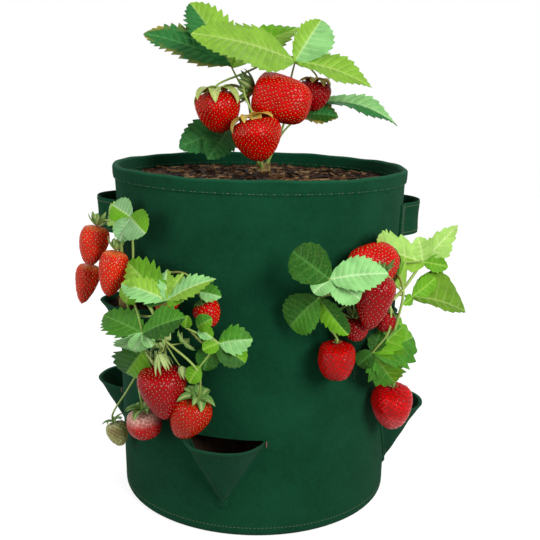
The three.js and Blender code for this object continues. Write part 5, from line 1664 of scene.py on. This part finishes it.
LEFT_PLANT_SHARES = {
    "trusses": [
        {"suffix": "_lower", "stem": [(0.35, 0.32, 0.18), (0.66, 0.54, 0.1), (0.74, 0.52, -0.17)], "buds": [
            bud((0.68, 0.5, -0.34), (0.64, 0.56, -0.15), 0.4, "wispy"),
            bud((0.8, 0.5, -0.18), (0.89, 0.5, -0.29), 0.42, "wispy"),
            bud((0.9, 0.4, -0.21), (0.98, 0.36, -0.1), 0.3, "star"),
            bud((0.82, 0.36, -0.49), (0.77, 0.4, -0.34), 0.34, "wispy"),
            bud((0.74, 0.5, -0.27), (0.82, 0.44, -0.43), 0.3, "upright")],
         "berries": [
            fruit((0.63, 0.4, -0.55), (0.66, 0.34, -1.14), 0.52, 3, "dark", "wispy", form="cone"),
            fruit((0.94, 0.24, -0.88), (0.74, 0.24, -1.35), 0.45, 3, "brown", "hanging", [(1, 0.4, -0.5)]),
            fruit((0.29, 0.24, -1.17), (0.31, 0.22, -1.49), 0.4, 3, "shoulder", "hanging",
                  [(0.5, 0.3, -0.38), (0.3, 0.3, -0.75)], "round"),
            fruit((-0.33, 0.23, -1.53), (-0.25, 0.17, -1.81), 0.26, 3, "unripe", "hanging",
                  [(0.46, 0.26, -0.42), (0.1, 0.26, -0.95)]),
            fruit((0.99, 0.2, 0.17), (1.1, 0.2, -0.08), 0.28, 1, "ripe", "star",
                  [(0.4, 0.12, 0.34), (0.75, 0.08, 0.42)]),
            fruit((0.66, 0.2, 0.23), (0.5, 0.2, 0.02), 0.3, 1, "ripe", "star",
                  [(0.36, 0.14, 0.26), (0.56, 0.1, 0.36)]),
        ]},
        {"suffix": "_upper", "stem": [(-0.2, 0.1, 0.4), (-0.16, 0.14, 0.86)], "berries": [
            fruit((-0.36, 0.32, 0.79), (-0.38, 0.42, 0.34), 0.33, 2, "orange", "upright"),
            fruit((0, 0.29, 0.58), (-0.02, 0.39, 0.08), 0.33, 2, "orange", "upright"),
            fruit((-0.62, 0.34, 0.29), (-0.65, 0.46, -0.18), 0.3, 2, "orange", "upright",
                  [(-0.5, 0.24, 0.75)], "cone"),
        ]},
    ],
    "leaves": [
        {"hub": (0.16, 0.2, 0.96), "slot": "leaf_mid_green", "via": [(0.1, 0.15, 0.5)], "blades": [
            blade((-0.06, 0.26, 1.06), (0.6, 0.75, 0.25), 0.5, "grey bright", 7, blunt=0.5, widest=1.1),
            blade((0.43, 0.28, 0.84), (0.3, 0.9, 0.2), 0.5, "grey bright", 8, blunt=0.45, widest=1.2),
            blade((0.14, 0.34, 0.72), (0.3, 0.9, 0.1), 0.42, "grey", 7, blunt=0.55, widest=1.1),
            blade((-0.46, 0.14, 0.9), (0.4, 0.85, 0.3), 0.24, "pale", 7, blunt=0.5,
                  start=(0.04, 0.14, 0.95))]},
        {"hub": (0.76, 0.46, 0.22), "slot": "leaf_yellow_green",
         "via": [(0.3, 0.36, -0.02), (0.62, 0.46, 0.04)], "blades": [
            # shade above 1 lightens this blade: painted light
            blade((0.27, 0.46, 0.3), (0, 0.7, 0.7), 0.2, "lime mint", 9, tooth=1.3, shade=1.1),
            blade((1.17, 0.42, 0.48), (0, 0.7, 0.7), 0.19, "lime mint", 9, tooth=1.3, blunt=0.9),
            blade((0.68, 0.3, 0.5), (0, 0.9, 0.3), 0.2, "lime mint", 5, tooth=2),
            blade((0.84, 0.3, 0.48), (0, 0.9, 0.3), 0.18, "lime", 5, tooth=2),
            blade((0.16, 0.26, 0.48), (0.1, 0.9, 0.4), 0.2, "bright lime", 7, tooth=1.6),
            blade((0.28, 0.42, 0.09), (0.1, 0.9, 0.3), 0.5, "lime bright", 6, blunt=0.6,
                  start=(0.36, 0.4, 0.28)),
            blade((0.46, 0.42, 0.24), (0, 0.8, 0.5), 0.3, "dark", 6),
            blade((1.19, 0.3, 0.27), (0.2, 0.7, 0.6), 0.38, "mint mid", 5, tooth=1.8, margin=0.5,
                  start=(0.99, 0.3, 0.3)),
            blade((0.92, 0.5, 0.25), (0, 0.6, 0.6), 0.4, "bright", 5)]},
        {"hub": (0.63, 0.66, -0.1), "slot": "leaf_mid_green", "blades": [
            blade((0.04, 0.5, -0.1), (0, 0.6, 0.8), 0.2, "mid", 8, tooth=1.3, arch=0.02),
            blade((0.98, 0.64, 0.12), (-0.1, 0.8, 0.5), 0.3, "dark mid", 9, tooth=1.2, widest=1.1),
            blade((0.69, 0.62, -0.24), (0.5, 0.7, 0.5), 0.42, "mint", 7, blunt=0.5),
            blade((0.54, 0.66, -0.3), (0.5, 0.7, 0.5), 0.42, "mint", 7, blunt=0.5),
            blade((0.32, 0.58, -0.34), (0.6, 0.7, 0.3), 0.26, "mint", 7, blunt=0.6, tooth=1.4),
            blade((0.16, 0.34, -0.74), (0.3, 0.9, 0.2), 0.36, "dark bright", 6, tooth=1.6,
                  start=(0.5, 0.44, -0.36))]},
        {"hub": (1.18, 0.36, -0.2), "slot": "leaf_dark_green",
         "via": [(0.46, 0.1, 0.06), (0.74, 0.08, -0.14), (0.98, 0.14, -0.3)], "blades": [
            blade((1.47, 0.3, -0.16), (0.1, 0.8, 0.5), 0.4, "mint mid", 6, tooth=2),
            blade((1.41, 0.34, -0.4), (0.2, 0.9, 0.3), 0.42, "dark bright", 7, blunt=0.5),
            blade((1.06, 0.44, -0.26), (0, 0.9, 0.4), 0.46, "bright", 6, blunt=0.5),
            blade((1.05, 0.36, -0.51), (0, 0.9, 0.2), 0.42, "dark", 8, start=(1.12, 0.34, -0.24)),
            blade((0.93, 0.4, -0.65), (-0.1, 0.9, 0.3), 0.42, "bright", 6, start=(1.02, 0.38, -0.46)),
            blade((0.94, 0.46, 0.09), (0, 0.9, 0.3), 0.45, "bright", 5, blunt=0.5,
                  start=(0.92, 0.46, -0.04)),
            blade((1.14, 0.44, 0.08), (0, 0.9, 0.3), 0.45, "bright mid", 5, blunt=0.5,
                  start=(1.01, 0.42, -0.03)),
            blade((1.14, 0.42, -0.13), (0.1, 0.9, 0.3), 0.42, "mint bright", 5, blunt=0.5,
                  start=(1.02, 0.4, -0.04))]},
    ],
}

RIGHT_PLANT_SHARES = {
    "trusses": [{"suffix": "",
                 "stem": [(0.08, 0.3, 0.2), (0.12, 0.4, 0.42), (0.02, 0.6, 0.3), (-0.01, 0.56, -0.1)],
                 "berries": [
        fruit((0.12, 0.3, 0.53), (-0.37, 0.28, 0.63), 0.45, 2, "ripe", "star"),
        fruit((-0.26, 0.6, 0.52), (-0.3, 0.56, -0.06), 0.42, 3, "dark", "spiky", form="cone"),
        fruit((-0.32, 0.36, 0.02), (-0.27, 0.34, -0.24), 0.27, 1, "dark", "spiky",
              [(-0.14, 0.26, 0.26), (-0.3, 0.3, 0.24)]),
        fruit((0.01, 0.44, 0.03), (-0.08, 0.44, -0.14), 0.26, 4, "dark", "star"),
        fruit((-0.45, 0.28, -0.26), (-0.42, 0.24, -0.66), 0.4, 1, "russet", "tuft",
              [(-0.34, 0.18, 0.1), (-0.52, 0.2, -0.04)], "round"),
        fruit((0.34, 0.3, -0.93), (0.45, 0.24, -1.47), 0.47, 4, "pinkish", "tuft", [(0.1, 0.24, -0.44)]),
    ]}],
    "leaves": [
        {"hub": (-0.68, 0.62, 0.53), "slot": "leaf_mid_green", "blades": [
            blade((-0.92, 0.34, 0.76), (-0.5, 0.6, 0.6), 0.42, "dark", 6, blunt=0.5, tooth=0.7, widest=1.15),
            blade((-0.3, 0.82, 0.59), (-0.2, 0.75, 0.65), 0.3, "mint", 10),
            blade((-0.48, 0.74, 0.34), (-0.3, 0.7, 0.75), 0.46, "mint", 10, blunt=0.5),
            blade((-0.8, 0.62, 0.4), (-0.3, 0.7, 0.75), 0.6, "mint", 7, blunt=0.5)]},
        {"hub": (-0.68, 0.36, 0.28), "slot": "leaf_dark_green", "blades": [
            blade((-0.89, 0.18, -0.06), (-0.5, 0.9, 0.2), 0.45, "dark mid", 8, blunt=0.5, widest=1.15),
            blade((-0.44, 0.48, -0.1), (-0.4, 0.9, 0.1), 0.22, "bright dark", 9, blunt=0.6)]},
        {"hub": (0.76, 0.34, 0.44), "slot": "leaf_yellow_green", "thick": 1.5, "via": [(0.24, 0.3, 0.14)],
         "blades": [
            blade((0.92, 0.66, 0.86), (-0.5, 0.8, 0.3), 0.2, "pale", 6, tooth=1.1, blunt=1, arch=-0.03),
            blade((1.2, 0.6, 0.55), (-0.4, 0.8, 0.3), 0.13, "pale", 5, tooth=1.2, blunt=1),
            blade((0.7, 0.28, 0.73), (-0.6, 0.75, 0.3), 0.4, "pale", 6, tooth=0.8, blunt=0.5),
            blade((-0.08, 0.3, 0.83), (-0.3, 0.85, 0.4), 0.16, "pale lime", 6, tooth=0.9, blunt=0.5,
                  arch=-0.08),
            blade((0.88, 0.6, 0.38), (-0.5, 0.8, 0.3), 0.3, "bright", 6, tooth=1.2),
            blade((0.13, 0.34, 0.27), (0.1, 0.9, 0.3), 0.42, "bright lime", 8,
                  start=(0.3, 0.34, 0.53))]},
        {"hub": (0.47, 0.36, 0.11), "slot": "leaf_yellow_green", "blades": [
            blade((0.79, 0.86, -0.09), (0.1, 0.8, 0.5), 0.38, "olive", 7, tooth=0.7, blunt=0.6,
                  lean=0.5),
            blade((0.74, 0.5, 0.28), (0.1, 0.8, 0.5), 0.26, "bright", 7, tooth=1.4),
            blade((0.25, 0.4, 0.08), (0, 0.9, 0.4), 0.2, "bright", 5)]},
        {"hub": (-0.09, 0.36, -0.39), "slot": "leaf_dark_green",
         "via": [(-0.02, 0.46, 0.16), (-0.06, 0.54, -0.1)], "blades": [
            blade((0.5, 0.4, -0.36), (-0.5, 0.8, 0.25), 0.34, "mid bright", 5, tooth=2),
            blade((0.24, 0.42, -0.17), (-0.5, 0.8, 0.25), 0.3, "bright mid", 4, tooth=2.2),
            blade((0.02, 0.34, -0.18), (-0.5, 0.8, 0.25), 0.36, "dark", 5, tooth=1.6),
            blade((0.31, 0.34, -0.84), (-0.5, 0.85, 0.1), 0.26, "mid bright", 5, tooth=1.8),
            blade((0.36, 0.36, -0.66), (-0.5, 0.85, 0.1), 0.28, "mid bright", 5, tooth=1.8),
            blade((-0.17, 0.24, -0.55), (-0.5, 0.85, 0.1), 0.45, "dark", 6, blunt=0.5, tooth=1.2)]},
    ],
}

TOP_CROWN_SHARES = (0.04, -0.5, 0)
POCKET_CROWN_SHARES = (0, CROWN_STANDOFF / SPREAD, 0)

plant("top", top_place, TOP_CROWN_SHARES, TOP_CROWN_RADIUS, TOP_PLANT_SHARES)
for side, azimuth, table in (("left", UPPER_AZIMUTHS[0], LEFT_PLANT_SHARES),
                             ("right", UPPER_AZIMUTHS[1], RIGHT_PLANT_SHARES)):
    plant(side, pocket_place(azimuth, UPPER_MOUTH), POCKET_CROWN_SHARES, POCKET_CROWN_RADIUS, table)


# Camera, lights and white surroundings

def add_camera():
    ahead = math.cos(CAMERA_PITCH)
    forward = Vector((math.sin(CAMERA_PAN) * ahead, math.cos(CAMERA_PAN) * ahead, -math.sin(CAMERA_PITCH)))
    level = Vector((math.cos(CAMERA_PAN), -math.sin(CAMERA_PAN), 0))
    above = level.cross(forward)
    right = level * math.cos(CAMERA_ROLL) + above * math.sin(CAMERA_ROLL)
    up = above * math.cos(CAMERA_ROLL) - level * math.sin(CAMERA_ROLL)
    camera = add_object("camera", bpy.data.cameras.new("camera"))
    camera.data.lens = CAMERA_LENS
    camera.data.sensor_width = CAMERA_SENSOR
    turn = Matrix((right, up, -forward)).transposed().to_4x4()
    camera.matrix_world = Matrix.Translation(CAMERA_PLACE) @ turn
    bpy.context.scene.camera = camera


# Each lamp's place, size and watts
LAMPS = {
    "key": ((0.95, -1.35, 0.95), 0.8, 26),
    "fill": ((-1.3, -1.0, 0.7), 1.0, 9),
    "back": ((-0.2, 1.3, 1.2), 0.8, 5),
}
LAMP_AIM = (0, 0, 0.28)
WORLD_LIGHT = 0.5
FLOOR_SIZE = 6
# The floor's grey and glow as it is seen, and its grey as it lights the object
FLOOR_SEEN_GREY = 0.34
FLOOR_GLOW = 0.82
FLOOR_LIGHT_GREY = 0.35


def add_lamps():
    for name, (place, size, watts) in LAMPS.items():
        lamp = add_object(f"lamp_{name}", bpy.data.lights.new(f"lamp_{name}", "AREA"))
        lamp.data.shape = "DISK"
        lamp.data.size = size
        lamp.data.energy = watts
        lamp.location = place
        lamp.rotation_mode = "QUATERNION"
        lamp.rotation_quaternion = (Vector(LAMP_AIM) - Vector(place)).to_track_quat("-Z", "Y")


def seen_rays(tree):
    """One for rays that show the surroundings: camera, glossy and transmission rays."""
    path = tree.nodes.new("ShaderNodeLightPath")
    total = path.outputs["Is Camera Ray"]
    for name in ("Is Glossy Ray", "Is Transmission Ray"):
        total = add_node(tree, "Math", {0: total, 1: path.outputs[name]}, operation="MAXIMUM")
    return total


def add_world():
    """White where it is seen, and a soft light everywhere else."""
    world = bpy.data.worlds.new("surroundings")
    world.use_nodes = True
    bpy.context.scene.world = world
    tree = world.node_tree
    background = tree.nodes["Background"]
    feed(tree, background.inputs["Color"], (1, 1, 1))
    strength = {"Value": seen_rays(tree), "To Min": WORLD_LIGHT, "To Max": 1}
    feed(tree, background.inputs["Strength"], add_node(tree, "MapRange", strength))


def grey_diffuse(tree, grey):
    return add_node(tree, "BsdfDiffuse", {"Color": (grey, grey, grey)})


def add_floor():
    """A white floor that keeps a soft shadow under the bag."""
    half = FLOOR_SIZE / 2
    corners = [(-half, -half, 0), (half, -half, 0), (half, half, 0), (-half, half, 0)]
    mesh = bpy.data.meshes.new("floor")
    mesh.from_pydata(corners, [], [(0, 1, 2, 3)])
    material = bpy.data.materials.new("floor")
    material.use_nodes = True
    mesh.materials.append(material)
    tree = material.node_tree
    tree.nodes.remove(tree.nodes["Principled BSDF"])
    glow = add_node(tree, "Emission", {"Strength": FLOOR_GLOW})
    seen = add_node(tree, "AddShader", {0: grey_diffuse(tree, FLOOR_SEEN_GREY), 1: glow})
    lighting = grey_diffuse(tree, FLOOR_LIGHT_GREY)
    mixed = add_node(tree, "MixShader", {0: seen_rays(tree), 1: lighting, 2: seen})
    feed(tree, tree.nodes["Material Output"].inputs["Surface"], mixed)
    floor = add_object("floor", mesh)


add_camera()
add_lamps()
add_world()
add_floor()
bpy.context.scene.view_settings.view_transform = "Standard"
